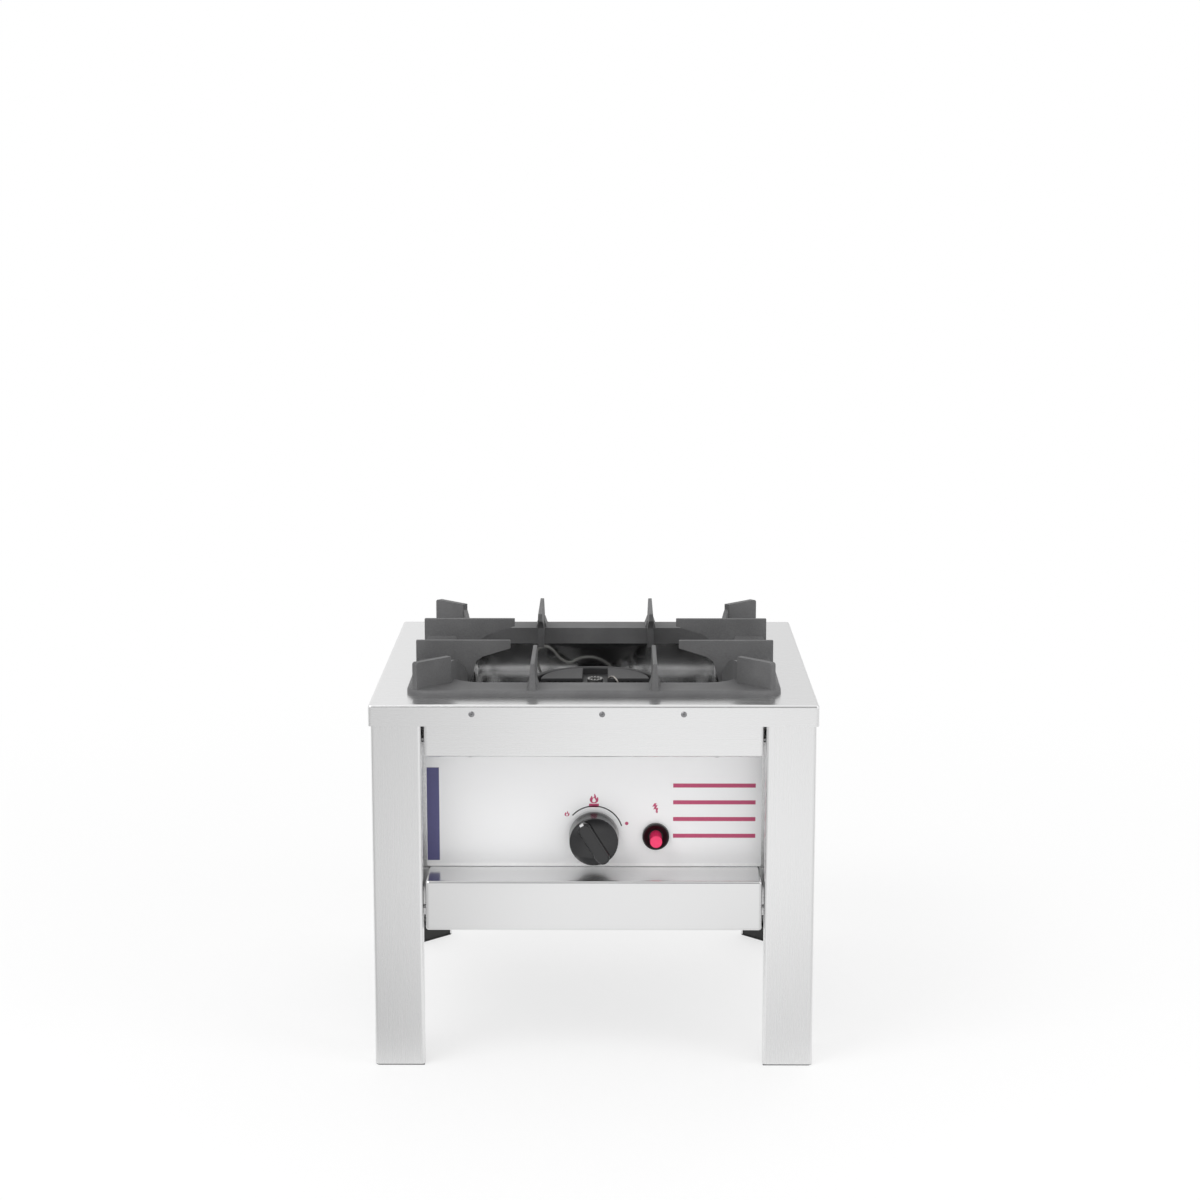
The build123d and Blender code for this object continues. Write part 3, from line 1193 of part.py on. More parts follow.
# Piezo igniter: body with a dished bezel, nut, button with a collar, and spring
BEZEL_RADIUS = 12.2
BEZEL_DEPTH = 4.5
BEZEL_ROUND = 0.6
DISH_RADIUS = 11.0
DISH_DEPTH = 3.4
DISH_FLARE = 53.0
BEZEL_FRONT = OVERLAY_FRONT + BEZEL_DEPTH
IGNITER_RADIUS = 8.5
IGNITER_REAR = 96.0
TERMINAL_END = 92.0
BUTTON_RADIUS = 5.5
BUTTON_FRONT = 172.0
BUTTON_REAR = 128.0
BUTTON_COLLAR = 6.4
IGNITER_CHAMBER = 6.5
CHAMBER_FRONT = 149.0
CHAMBER_REAR = 118.0
COLLAR_GAP = 0.3
TERMINAL = 2.5
IGNITER_NUT = (11.0, 4.0)
BUTTON_ROUND = 0.8
BUTTON_COLLAR_LENGTH = 2.0
IGNITER_COIL = 4.5

with BuildPart() as igniter_body:
    with BuildSketch(axis_plane(IGNITER_X, -OVERLAY_FRONT, IGNITER_Z)):
        Circle(BEZEL_RADIUS)
    extrude(amount=BEZEL_DEPTH)
    fillet(igniter_body.faces().sort_by(Axis.Y)[0].edges(), radius=BEZEL_ROUND)
    with BuildSketch(axis_plane(IGNITER_X, -BEZEL_FRONT, IGNITER_Z)):
        Circle(DISH_RADIUS)
    extrude(amount=-DISH_DEPTH, taper=DISH_FLARE, mode=Mode.SUBTRACT)
    with BuildSketch(axis_plane(IGNITER_X, -OVERLAY_FRONT, IGNITER_Z)):
        Circle(IGNITER_RADIUS)
    extrude(amount=-(OVERLAY_FRONT - IGNITER_REAR))
    with BuildSketch(axis_plane(IGNITER_X, -IGNITER_REAR, IGNITER_Z)):
        Circle(TERMINAL)
    extrude(amount=-(IGNITER_REAR - TERMINAL_END))
    with BuildSketch(axis_plane(IGNITER_X, -CHAMBER_REAR, IGNITER_Z)):
        Circle(IGNITER_CHAMBER)
    extrude(amount=CHAMBER_FRONT - CHAMBER_REAR, mode=Mode.SUBTRACT)
    with BuildSketch(axis_plane(IGNITER_X, -CHAMBER_FRONT, IGNITER_Z)):
        Circle(BUTTON_RADIUS + SLIP)
    extrude(amount=BUTTON_FRONT - CHAMBER_FRONT, mode=Mode.SUBTRACT)
igniter_body.part.label = "igniter_body"
export_step(igniter_body.part, "parts/igniter_body.step")

with BuildPart() as igniter_nut:
    with BuildSketch(axis_plane(IGNITER_X, -PANEL_Y + SHEET, IGNITER_Z)):
        RegularPolygon(radius=IGNITER_NUT[0], side_count=6, major_radius=False)
        Circle(IGNITER_RADIUS + SNUG, mode=Mode.SUBTRACT)
    extrude(amount=-IGNITER_NUT[1])
igniter_nut.part.label = "igniter_nut"
export_step(igniter_nut.part, "parts/igniter_nut.step")

with BuildPart() as igniter_button:
    with BuildSketch(axis_plane(IGNITER_X, -BUTTON_REAR, IGNITER_Z)):
        Circle(BUTTON_RADIUS)
    extrude(amount=BUTTON_FRONT - BUTTON_REAR)
    fillet(igniter_button.faces().sort_by(Axis.Y)[0].edges(), radius=BUTTON_ROUND)
    with BuildSketch(axis_plane(IGNITER_X, -CHAMBER_FRONT + COLLAR_GAP, IGNITER_Z)):
        Circle(BUTTON_COLLAR)
    extrude(amount=-BUTTON_COLLAR_LENGTH)
igniter_button.part.label = "igniter_button"
export_step(igniter_button.part, "parts/igniter_button.step")

igniter_length = BUTTON_REAR - CHAMBER_REAR - 0.4
igniter_coil = coil_spring(IGNITER_COIL, SPRING_WIRE, igniter_length, COIL_TURNS)

with BuildPart() as igniter_spring:
    add(Pos(IGNITER_X, -CHAMBER_REAR - SPRING_WIRE, IGNITER_Z) * Rot(90, 0, 0) * igniter_coil)
igniter_spring.part.label = "igniter_spring"
export_step(igniter_spring.part, "parts/igniter_spring.step")


def lead_corners(points):
    """Corner radii of a lead: as large as the two runs beside each corner allow."""
    corners = []
    spots = [Vector(*point) for point in points]
    for before, here, after in zip(spots, spots[1:], spots[2:]):
        turn = math.radians((here - before).get_angle(after - here))
        run = min((here - before).length, (after - here).length)
        corners.append(0.45 * run / math.tan(turn / 2))
    return corners


def round_lead(points, radius):
    """A round lead along straight runs joined by arcs."""
    corners = lead_corners(points)
    print("lead radii", [round(corner, 1) for corner in corners])
    with BuildPart() as lead:
        with BuildLine() as route:
            FilletPolyline(*points, radius=corners)
        with BuildSketch(Plane(origin=route.line @ 0, z_dir=route.line % 0)):
            Circle(radius)
        sweep()
    return lead.part


# Bracket: a band round the neck with an arm that carries the electrode and the probe
BRACKET_TOP = 270.0
BRACKET_SHEET = 2.0
BAND_HEIGHT = 9.0
BAND_WALL = 1.5
ELECTRODE_RADIUS = 3.2
PROBE_RADIUS = 2.2
ELECTRODE_EYE = 7.0
PROBE_EYE = 5.5
ARM_BOTTOM = BRACKET_TOP - BRACKET_SHEET

with BuildPart() as electrode_bracket:
    with BuildSketch(Plane.XY.offset(BRACKET_TOP)):
        Circle(NECK_UPPER + BAND_WALL)
        Circle(NECK_UPPER, mode=Mode.SUBTRACT)
    extrude(amount=-BAND_HEIGHT)
    with BuildSketch(Plane.XY.offset(ARM_BOTTOM)):
        with Locations(ELECTRODE_AT):
            Circle(ELECTRODE_EYE)
        with Locations(PROBE_AT):
            Circle(PROBE_EYE)
        Circle(NECK_UPPER)
        make_hull()
        Circle(NECK_UPPER, mode=Mode.SUBTRACT)
        with Locations(ELECTRODE_AT):
            Circle(ELECTRODE_RADIUS + SNUG, mode=Mode.SUBTRACT)
        with Locations(PROBE_AT):
            Circle(PROBE_RADIUS + SNUG, mode=Mode.SUBTRACT)
    extrude(amount=BRACKET_SHEET)
electrode_bracket.part.label = "electrode_bracket"
export_step(electrode_bracket.part, "parts/electrode_bracket.step")

# Spark electrode: a ceramic tube with a wire whose tip hooks over the head
CERAMIC_TOP = 311.0
CERAMIC_BOTTOM = 266.0
TERMINAL_BOTTOM = 262.0
TIP_WIRE = 0.9
TERMINAL_PIN = 1.6
ELECTRODE_COLLAR = (4.6, 4.0)
CERAMIC_EDGE = 0.8

tip_points = [
    (*ELECTRODE_AT, CERAMIC_TOP - 2),
    (*ELECTRODE_AT, 318.0),
    (ELECTRODE_AT[0] - 5, ELECTRODE_AT[1] + 5, 322.0),
    (ELECTRODE_AT[0] - 9, ELECTRODE_AT[1] + 9, 319.0),
]
tip_wire = round_lead(tip_points, TIP_WIRE)

with BuildPart() as spark_electrode:
    with BuildSketch(Plane.XY.offset(CERAMIC_BOTTOM)):
        with Locations(ELECTRODE_AT):
            Circle(ELECTRODE_RADIUS)
    extrude(amount=CERAMIC_TOP - CERAMIC_BOTTOM)
    chamfer(spark_electrode.faces().sort_by(Axis.Z)[-1].edges(), length=CERAMIC_EDGE)
    with BuildSketch(Plane.XY.offset(BRACKET_TOP)):
        with Locations(ELECTRODE_AT):
            Circle(ELECTRODE_COLLAR[0])
    extrude(amount=ELECTRODE_COLLAR[1])
    with BuildSketch(Plane.XY.offset(CERAMIC_BOTTOM)):
        with Locations(ELECTRODE_AT):
            Circle(TERMINAL_PIN)
    extrude(amount=TERMINAL_BOTTOM - CERAMIC_BOTTOM)
    add(tip_wire)
spark_electrode.part.label = "spark_electrode"
export_step(spark_electrode.part, "parts/spark_electrode.step")

# Thermocouple: a probe through the head and its thin lead down to the magnet unit
PROBE_TOP = 313.0
PROBE_BOTTOM = 262.0
PROBE_COLLAR = (3.6, 3.0)
PROBE_ROUND = 1.4

probe_route = [
    (*PROBE_AT, PROBE_BOTTOM + 1),
    (*PROBE_AT, 222.0),
    (37.0, -38.0, 196.0),
    (36.0, -62.0, 177.0),
    (32.0, -86.0, 161.0),
    (25.0, -101.0, 148.0),
    (14.0, -112.0, 139.0),
    (4.0, -118.0, 142.0),
    (0.0, -120.0, 153.0),
    (*MAGNET_AT, MAGNET_BOTTOM),
]
probe_lead = round_lead(probe_route, PROBE_LEAD_RADIUS)

with BuildPart() as thermocouple:
    with BuildSketch(Plane.XY.offset(PROBE_BOTTOM)):
        with Locations(PROBE_AT):
            Circle(PROBE_RADIUS)
    extrude(amount=PROBE_TOP - PROBE_BOTTOM)
    fillet(thermocouple.faces().sort_by(Axis.Z)[-1].edges(), radius=PROBE_ROUND)
    with BuildSketch(Plane.XY.offset(BRACKET_TOP)):
        with Locations(PROBE_AT):
            Circle(PROBE_COLLAR[0])
    extrude(amount=PROBE_COLLAR[1])
    add(probe_lead)
thermocouple.part.label = "thermocouple"
export_step(thermocouple.part, "parts/thermocouple.step")

# Ignition lead: from the igniter under the pan, up behind the burner and to the electrode
ignition_route = [
    (IGNITER_X, -TERMINAL_END, IGNITER_Z),
    (IGNITER_X, -74.0, IGNITER_Z),
    (55.0, -46.0, 208.0),
    (52.0, -16.0, 214.0),
    (45.0, 14.0, 219.0),
    (30.0, 40.0, 220.0),
    (6.0, 58.0, 218.0),
    (-20.0, 66.0, 215.0),
    (-40.0, 66.0, 214.5),
    (-52.0, 66.0, 226.5),
    (-52.0, 66.0, 264.0),
    (-60.0, 66.0, 282.0),
    (-64.0, 67.0, 295.5),
    (-61.0, 67.5, 304.0),
    (-52.0, 68.0, 306.8),
    (-44.5, 68.0, 301.5),
    (-38.0, 67.5, 292.5),
    (-28.0, 66.0, 287.5),
    (-17.0, 64.5, 293.5),
    (-3.0, 62.0, 294.0),
    (10.0, 55.0, 287.0),
    (22.0, 40.0, 272.0),
    (31.0, 18.0, 259.0),
    (33.0, 2.0, 252.0),
    (28.0, -12.0, 246.5),
    (*ELECTRODE_AT, 252.0),
    (*ELECTRODE_AT, TERMINAL_BOTTOM),
]
lead_tube = round_lead(ignition_route, LEAD_RADIUS)

with BuildPart() as ignition_lead:
    add(lead_tube)
ignition_lead.part.label = "ignition_lead"
export_step(ignition_lead.part, "parts/ignition_lead.step")

# Base shield: a vented plate that lies on the lower rails
SHIELD_Z = LOWER_RAIL_BOTTOM + SHEET
SHIELD_LONG = 160.0
SHIELD_SHORT = 144.0
SHIELD_VENT = (40.0, 8.0)
SHIELD_PITCH = (60.0, 36.0)

with BuildPart() as base_shield:
    with BuildSketch(Plane.XY.offset(SHIELD_Z)):
        Rectangle(2 * SHIELD_LONG, 2 * SHIELD_SHORT)
        Rectangle(2 * SHIELD_SHORT, 2 * SHIELD_LONG)
        with GridLocations(*SHIELD_PITCH, 4, 5):
            SlotOverall(*SHIELD_VENT, mode=Mode.SUBTRACT)
    extrude(amount=SHEET)
base_shield.part.label = "base_shield"
export_step(base_shield.part, "parts/base_shield.step")

# Pan support: a cast frame with a locating lip, eight side fingers and four corner fingers
SUPPORT_THICKNESS = 6.0
SUPPORT_IN = 132.0
SUPPORT_CORNER = 24.0
SUPPORT_IN_CORNER = 32.0
LIP_OUT = 137.0
LIP_DEPTH = 10.0
LIP_CORNER = 28.0
FINGER_TIP = 79.0
FINGER_OUT = 167.3
FINGER_DROP = 11.0
SUPPORT_TOP = TOP_Z + SUPPORT_HEIGHT
ROOT_WIDTH = 14.0
ROOT_HEIGHT = 6.0
CORNER_OUT = 161.0 * math.sqrt(2)
CORNER_IN = 132.0 * math.sqrt(2)
TIP_DEPTH = 7.6
TIP_ROUND = 2.5
ROOT_TAPER = 18
SUPPORT_ROUND = 3.5
FINGER_TOP = 3.6
FINGER_EDGE = 0.9
TAPER_START = TOP_Z + SUPPORT_THICKNESS

with BuildSketch() as taper_wedge:
    Polygon(
        (FINGER_THICKNESS / 2, TAPER_START),
        (FINGER_THICKNESS, TAPER_START),
        (FINGER_THICKNESS, SUPPORT_TOP + 1),
        (FINGER_TOP / 2, SUPPORT_TOP + 1),
        align=None,
    )
taper_cut = taper_wedge.sketch

with BuildPart() as side_finger:
    with BuildSketch(Plane.XZ.offset(-FINGER_THICKNESS / 2)) as finger_profile:
        Polygon(
            (FINGER_OUT, TOP_Z + 1),
            (FINGER_OUT, SUPPORT_TOP),
            (FINGER_TIP, SUPPORT_TOP),
            (FINGER_TIP, SUPPORT_TOP - TIP_DEPTH),
            (105.0, TOP_Z + 14.7),
            (111.0, TOP_Z + 10.5),
            (117.0, TOP_Z - FINGER_DROP),
            (SUPPORT_IN + 1, TOP_Z - FINGER_DROP),
            (SUPPORT_IN + 1, TOP_Z + 1),
            align=None,
        )
        fillet(finger_profile.vertices().sort_by(Axis.Z)[-2:], radius=TIP_ROUND)
    extrude(amount=FINGER_THICKNESS)
    with BuildSketch(Plane.YZ):
        add(taper_cut)
        mirror(taper_cut, about=Plane.YZ)
    extrude(amount=2 * SUPPORT_HALF, mode=Mode.SUBTRACT)
    fillet(side_finger.faces().sort_by(Axis.Z)[-1].edges(), radius=FINGER_EDGE)
    with BuildSketch(Plane.XY.offset(TOP_Z + 1)):
        with Locations(((SUPPORT_IN + FINGER_OUT) / 2 + 1, 0)):
            Rectangle(FINGER_OUT - SUPPORT_IN, ROOT_WIDTH)
    extrude(amount=SUPPORT_THICKNESS + ROOT_HEIGHT, taper=ROOT_TAPER)

with BuildPart() as corner_finger:
    with BuildSketch(Plane.XZ.offset(-FINGER_THICKNESS / 2)) as finger_profile:
        Polygon(
            (CORNER_OUT, TOP_Z + 1),
            (CORNER_OUT, SUPPORT_TOP),
            (CORNER_IN, SUPPORT_TOP),
            (CORNER_IN, TOP_Z + 1),
            align=None,
        )
        fillet(finger_profile.vertices().sort_by(Axis.Z)[-2:], radius=TIP_ROUND)
    extrude(amount=FINGER_THICKNESS)

BRACE = 4.0
BRACE_LENGTH = 76.0
BRACE_TURN = 98.3

with BuildPart() as brace:
    with BuildSketch(Plane.XZ.offset(-BRACE / 2)):
        with BuildLine():
            Polyline(
                (0, SUPPORT_TOP - 5),
                (0, TOP_Z),
                (BRACE_LENGTH, TOP_Z - FINGER_DROP + 1),
                (BRACE_LENGTH, TOP_Z - 2),
            )
            ThreePointArc(
                (BRACE_LENGTH, TOP_Z - 2),
                (BRACE_LENGTH / 2, TOP_Z + 18),
                (0, SUPPORT_TOP - 5),
            )
        make_face()
    extrude(amount=BRACE)

with BuildPart() as braces:
    with Locations(Location((SUPPORT_IN, -SUPPORT_IN, 0), (0, 0, BRACE_TURN))):
        add(brace.part)
    mirror(about=Plane.YZ)
    mirror(about=Plane.XZ)

with BuildPart() as pan_support:
    with BuildSketch(Plane.XY.offset(TOP_Z)):
        RectangleRounded(2 * SUPPORT_HALF, 2 * SUPPORT_HALF, SUPPORT_CORNER)
    extrude(amount=SUPPORT_THICKNESS)
    fillet(pan_support.faces().sort_by(Axis.Z)[-1].edges(), radius=SUPPORT_ROUND)
    with BuildSketch(Plane.XY.offset(TOP_Z - LIP_DEPTH)):
        RectangleRounded(2 * LIP_OUT, 2 * LIP_OUT, LIP_CORNER)
    extrude(amount=LIP_DEPTH)
    with BuildSketch(Plane.XY.offset(TOP_Z - LIP_DEPTH)):
        RectangleRounded(2 * SUPPORT_IN, 2 * SUPPORT_IN, SUPPORT_IN_CORNER)
    extrude(amount=3 * LIP_DEPTH, mode=Mode.SUBTRACT)
    for turn in SIDES.values():
        for y in (-FINGER_OFFSET, FINGER_OFFSET):
            place = Vector(0, y, 0).rotate(Axis.Z, turn)
            with Locations(place):
                add(side_finger.part, rotation=(0, 0, turn))
        add(corner_finger.part, rotation=(0, 0, turn + 45))
    add(braces.part)
pan_support.part.label = "pan_support"
export_step(pan_support.part, "parts/pan_support.step")
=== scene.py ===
import math

import bmesh
import bpy
from mathutils import Matrix, Vector


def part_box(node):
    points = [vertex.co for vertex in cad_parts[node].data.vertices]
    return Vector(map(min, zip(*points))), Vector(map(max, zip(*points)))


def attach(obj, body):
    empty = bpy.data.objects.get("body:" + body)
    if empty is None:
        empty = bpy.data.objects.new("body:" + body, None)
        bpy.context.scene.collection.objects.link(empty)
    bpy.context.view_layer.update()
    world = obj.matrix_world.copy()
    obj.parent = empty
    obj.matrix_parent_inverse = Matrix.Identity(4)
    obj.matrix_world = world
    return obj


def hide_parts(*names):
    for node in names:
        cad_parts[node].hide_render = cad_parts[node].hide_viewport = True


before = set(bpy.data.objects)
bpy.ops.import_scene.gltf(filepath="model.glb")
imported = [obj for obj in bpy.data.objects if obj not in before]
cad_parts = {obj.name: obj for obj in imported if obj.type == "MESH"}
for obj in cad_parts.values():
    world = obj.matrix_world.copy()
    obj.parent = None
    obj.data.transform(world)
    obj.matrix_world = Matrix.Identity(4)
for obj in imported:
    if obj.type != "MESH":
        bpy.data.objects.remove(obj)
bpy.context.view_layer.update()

bl_info = {
    "name": "Gas Stool Burner",
    "version": (1, 0, 0),
    "blender": (4, 5, 0),
    "location": "View3D > Sidebar > Stool Burner",
    "description": "Finishes, printed marks, fasteners and stage for a gas stool burner",
    "category": "Add Mesh",
}

MM = 0.001
OVERLAY_LOW, OVERLAY_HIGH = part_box("panel_overlay")
KNOB_LOW, KNOB_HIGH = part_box("knob")
BEZEL_LOW, BEZEL_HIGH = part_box("igniter_body")
TOP_LOW, TOP_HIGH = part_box("top_plate")
DIAL_X = (KNOB_LOW[0] + KNOB_HIGH[0]) / 2
DIAL_Z = (KNOB_LOW[2] + KNOB_HIGH[2]) / 2
IGNITER_X = (BEZEL_LOW[0] + BEZEL_HIGH[0]) / 2
PHOTO_WIDTH = 1200
SENSOR = 36.0
CAMERA_YAW = 0.277
FLOOR_GLOW = 0.62
FLOOR_REACH = 12.0
AMBIENT = 0.8

# Thickness of a printed mark, and the prints on the overlay
INK = 0.06 * MM
STRIPE_SIZE = (11.2 * MM, 87 * MM)
STRIPE_X = -146.4 * MM
STRIPE_Z = 222.5 * MM
BAR_SIZE = (75 * MM, 3.8 * MM)
BAR_X = 109.5 * MM
BAR_COUNT = 4
# The highest bar's height and the step between bars, in millimetres
BAR_TOP = 249.3
BAR_STEP = 15.7
# Painted highlight: a white strip along the overlay's bottom edge that stands for the bright
# reflection on the panel's lower fold
PAINTED_HIGHLIGHT_SIZE = (304 * MM, 2.4 * MM)
PAINTED_HIGHLIGHT_LIFT = 1.6 * MM
ARC_WIDTH = 1.1 * MM
ARC_LIFT = 0.6 * MM
ARC_START, ARC_END = 17, 138
FLAME = 8.6 * MM
FLAME_Z = 237.0 * MM
LOW_FLAME = 4.8 * MM
LOW_FLAME_X = -24.6 * MM
LOW_FLAME_Z = 222.8 * MM
BADGE_SIZE = (8.9 * MM, 3.4 * MM)
BADGE_Z = 230.6 * MM
DOT = 1.6 * MM
DOT_X = 29.8 * MM
DOT_Z = 213.7 * MM
BOLT = 9.6 * MM
BOLT_SHIFT = 0.4 * MM
BOLT_Z = 227.9 * MM

# Screw heads on the skirt and under the upper rails
SKIRT_HEAD = 2.7 * MM
SKIRT_HEAD_HEIGHT = 1.2 * MM
MIDDLE_SCREW_X = 7.6 * MM
RAIL_HEAD = 3.0 * MM
RAIL_HEAD_HEIGHT = 2.0 * MM
RAIL_SCREW_REACH = 189 * MM
RAIL_SCREW_ALONG = 110 * MM

# Painted shade discs for the gas ports round the burner
PORT_LEVELS = (306.5 * MM, 311.5 * MM)
PORT_COUNT = 72
PORT_RADIUS = 0.9 * MM

# Thread crests on the gas inlet
BRASS_TONE = (0.66, 0.48, 0.22)
BRASS_ROUGHNESS = 0.28
CREST_RADIUS = 10.3 * MM
CREST_WIRE = 0.5 * MM
CREST_PITCH = 1.8 * MM
CREST_COUNT = 8
CREST_REACH = 14.6 * MM

# Pointer on the knob's grip, partly a painted highlight on the grip's bevelled end, angles in
# degrees
POINTER_SIZE = (2.6 * MM, 3.6 * MM)
POINTER_THICKNESS = 0.1 * MM
POINTER_TILT = 45
POINTER_TURN = 122
POINTER_OUT = 20.75 * MM
POINTER_LIFT = 0.62 * MM

# Heights where a finish changes along a piece
WIRE_START, WIRE_FULL = 0.3108, 0.3112
SOOT_START, SOOT_FULL = 0.302, 0.314
PROBE_START, PROBE_FULL = 0.236, 0.240

# Name, place, aim, size, power, and whether the lamp shows in reflections
LAMPS = (
    ("key_lamp", (-1.6, -1.6, 2.6), (0, 0, 0.2), (1.6, 1.6), 26, True),
    ("fill_lamp", (2.2, -1.4, 1.5), (0, 0, 0.2), (1.4, 2.0), 12, True),
    ("front_lamp", (0.1, -2.4, 0.5), (0, 0, 0.22), (1.6, 0.8), 6.5, False),
    ("back_lamp", (0.4, 2.2, 2.4), (0, 0, 0.3), (2.4, 1.2), 9, False),
)


# Shader tools


class Wire:
    """A shader socket that works in Python arithmetic; each operation adds a Math node."""

    def __init__(self, finish, socket):
        self.finish = finish
        self.socket = socket

    def math(self, operation, first, second):
        return self.finish.node("ShaderNodeMath", {"operation": operation}, {0: first, 1: second})

    def __add__(self, other):
        return self.math("ADD", self, other)

    def __radd__(self, other):
        return self.math("ADD", other, self)

    def __sub__(self, other):
        return self.math("SUBTRACT", self, other)

    def __rsub__(self, other):
        return self.math("SUBTRACT", other, self)

    def __mul__(self, other):
        return self.math("MULTIPLY", self, other)

    def __rmul__(self, other):
        return self.math("MULTIPLY", other, self)

    def most(self, other):
        return self.math("MAXIMUM", self, other)


class Finish:
    """One material, built node by node on the piece's own coordinates."""

    def __init__(self, name):
        self.material = bpy.data.materials.new(name)
        self.material.use_nodes = True
        self.tree = self.material.node_tree
        self.tree.nodes.clear()
        self.place = self.node("ShaderNodeTexCoord", out="Object")

    def node(self, kind, settings=None, inputs=None, out=0):
        made = self.tree.nodes.new(kind)
        for name, value in (settings or {}).items():
            setattr(made, name, value)
        for name, value in (inputs or {}).items():
            if isinstance(value, Wire):
                self.tree.links.new(value.socket, made.inputs[name])
            else:
                made.inputs[name].default_value = value
        return Wire(self, made.outputs[out])

    def axis(self, letter):
        return self.node("ShaderNodeSeparateXYZ", inputs={0: self.place}, out=letter)

    def noise(self, scale, detail=3.0, roughness=0.5):
        placed = self.node("ShaderNodeMapping", inputs={"Vector": self.place, "Scale": scale})
        settings = {"Vector": placed, "Scale": 1.0, "Detail": detail, "Roughness": roughness}
        return self.node("ShaderNodeTexNoise", inputs=settings)

    def even_noise(self, scale, detail=3.0, roughness=0.5):
        return self.noise((scale, scale, scale), detail, roughness)

    def step(self, value, low, high):
        settings = {"interpolation_type": "SMOOTHSTEP"}
        return self.node("ShaderNodeMapRange", settings, {0: value, 1: low, 2: high})

    def mix(self, mask, first, second):
        return self.node("ShaderNodeMix", {"data_type": "RGBA"}, {0: mask, 6: first, 7: second}, 2)

    def bump(self, height, strength, depth):
        sockets = {"Height": height, "Strength": strength, "Distance": depth}
        return self.node("ShaderNodeBump", inputs=sockets)

    def surface(self, sockets):
        shader = self.node("ShaderNodeBsdfPrincipled", inputs=sockets)
        self.node_output(shader)
        return self.material

    def node_output(self, shader):
        output = self.tree.nodes.new("ShaderNodeOutputMaterial")
        self.tree.links.new(shader.socket, output.inputs["Surface"])


class Studio(Finish):
    """The world's nodes, built on the direction that a ray looks in."""

    def __init__(self, tree):
        self.tree = tree
        self.tree.nodes.clear()
        self.place = self.node("ShaderNodeTexCoord", out="Generated")

    def world_output(self, background):
        output = self.tree.nodes.new("ShaderNodeOutputWorld")
        self.tree.links.new(background.socket, output.inputs["Surface"])


def shade(colour, factor):
    """A colour made lighter or darker by a factor, with full alpha."""
    return (*[min(1.0, part * factor) for part in colour[:3]], 1.0)


# Finishes


def brushed_steel(name, grain_axis, tone, roughness):
    """Satin sheet steel with fine lines along one axis (0, 1 or 2)."""
    finish = Finish(name)
    lines = [2400.0, 2400.0, 2400.0]
    lines[grain_axis] = 6.0
    wide_lines = [420.0, 420.0, 420.0]
    wide_lines[grain_axis] = 0.8
    grain = finish.noise(lines, 2.0, 0.6)
    bands = finish.noise(wide_lines, 2.0, 0.5)
    cloud = finish.even_noise(7.0, 2.0, 0.5)
    lightness = 0.6 * grain + 0.4 * bands
    return finish.surface(
        {
            "Base Color": finish.mix(lightness, shade(tone, 0.985), shade(tone, 1.012)),
            "Metallic": 1.0,
            "Roughness": roughness - 0.04 + 0.05 * grain + 0.03 * cloud,
            "Normal": finish.bump(grain, 0.012, 0.02 * MM),
        }
    )


def overlay_film(name, tone):
    """Satin printed film on metal, with a fine even grain."""
    finish = Finish(name)
    grain = finish.noise((60.0, 2600.0, 2600.0), 2.0, 0.6)
    cloud = finish.even_noise(9.0, 2.0, 0.5)
    lightness = 0.5 * grain + 0.5 * cloud
    return finish.surface(
        {
            "Base Color": finish.mix(lightness, shade(tone, 0.98), shade(tone, 1.015)),
            "Metallic": 0.2,
            "Roughness": 0.32 + 0.06 * grain,
            "Normal": finish.bump(grain, 0.03, 0.02 * MM),
        }
    )


def polished_steel(name, tone, roughness):
    """Bright sheet steel with faint wipe marks and cloudy patches."""
    finish = Finish(name)
    wipes = finish.noise((90.0, 90.0, 6.0), 4.0, 0.6)
    cloud = finish.even_noise(16.0, 3.0, 0.5)
    tint = finish.mix(finish.step(cloud, 0.35, 0.75), shade(tone, 0.9), shade(tone, 1.06))
    return finish.surface(
        {
            "Base Color": tint,
            "Metallic": 1.0,
            "Roughness": roughness + 0.07 * wipes,
            "Normal": finish.bump(cloud, 0.03, 0.2 * MM),
        }
    )


def cast_iron(name, tone, roughness, grain_size):
    """Sand-cast iron under a matt coat, with a fine pebbled skin."""
    finish = Finish(name)
    grain = finish.even_noise(1000.0 / grain_size, 4.0, 0.65)
    pits = finish.even_noise(260.0 / grain_size, 2.0, 0.5)
    cloud = finish.even_noise(28.0, 3.0, 0.5)
    lightness = finish.step(0.55 * grain + 0.45 * cloud, 0.3, 0.7)
    return finish.surface(
        {
            "Base Color": finish.mix(lightness, shade(tone, 0.78), shade(tone, 1.25)),
            "Roughness": roughness + 0.12 * grain,
            "Normal": finish.bump(0.7 * grain + 0.3 * pits, 0.45, 0.35 * MM),
        }
    )


def machined_metal(name, tone, roughness):
    """Turned or plated metal with slight mottling."""
    finish = Finish(name)
    mottle = finish.even_noise(420.0, 3.0, 0.6)
    cloud = finish.even_noise(60.0, 2.0, 0.5)
    lightness = 0.5 * mottle + 0.5 * cloud
    return finish.surface(
        {
            "Base Color": finish.mix(lightness, shade(tone, 0.86), shade(tone, 1.1)),
            "Metallic": 1.0,
            "Roughness": roughness + 0.1 * mottle,
            "Normal": finish.bump(mottle, 0.08, 0.08 * MM),
        }
    )


def moulded_plastic(name, tone, roughness, texture, gloss=0.5):
    """Moulded plastic with a faint skin texture."""
    finish = Finish(name)
    skin = finish.even_noise(900.0, 2.0, 0.5)
    cloud = finish.even_noise(45.0, 3.0, 0.55)
    return finish.surface(
        {
            "Base Color": finish.mix(cloud, shade(tone, 0.85), shade(tone, 1.2)),
            "Roughness": roughness + 0.08 * cloud,
            "Normal": finish.bump(skin, texture, 0.06 * MM),
            "Specular IOR Level": gloss,
        }
    )


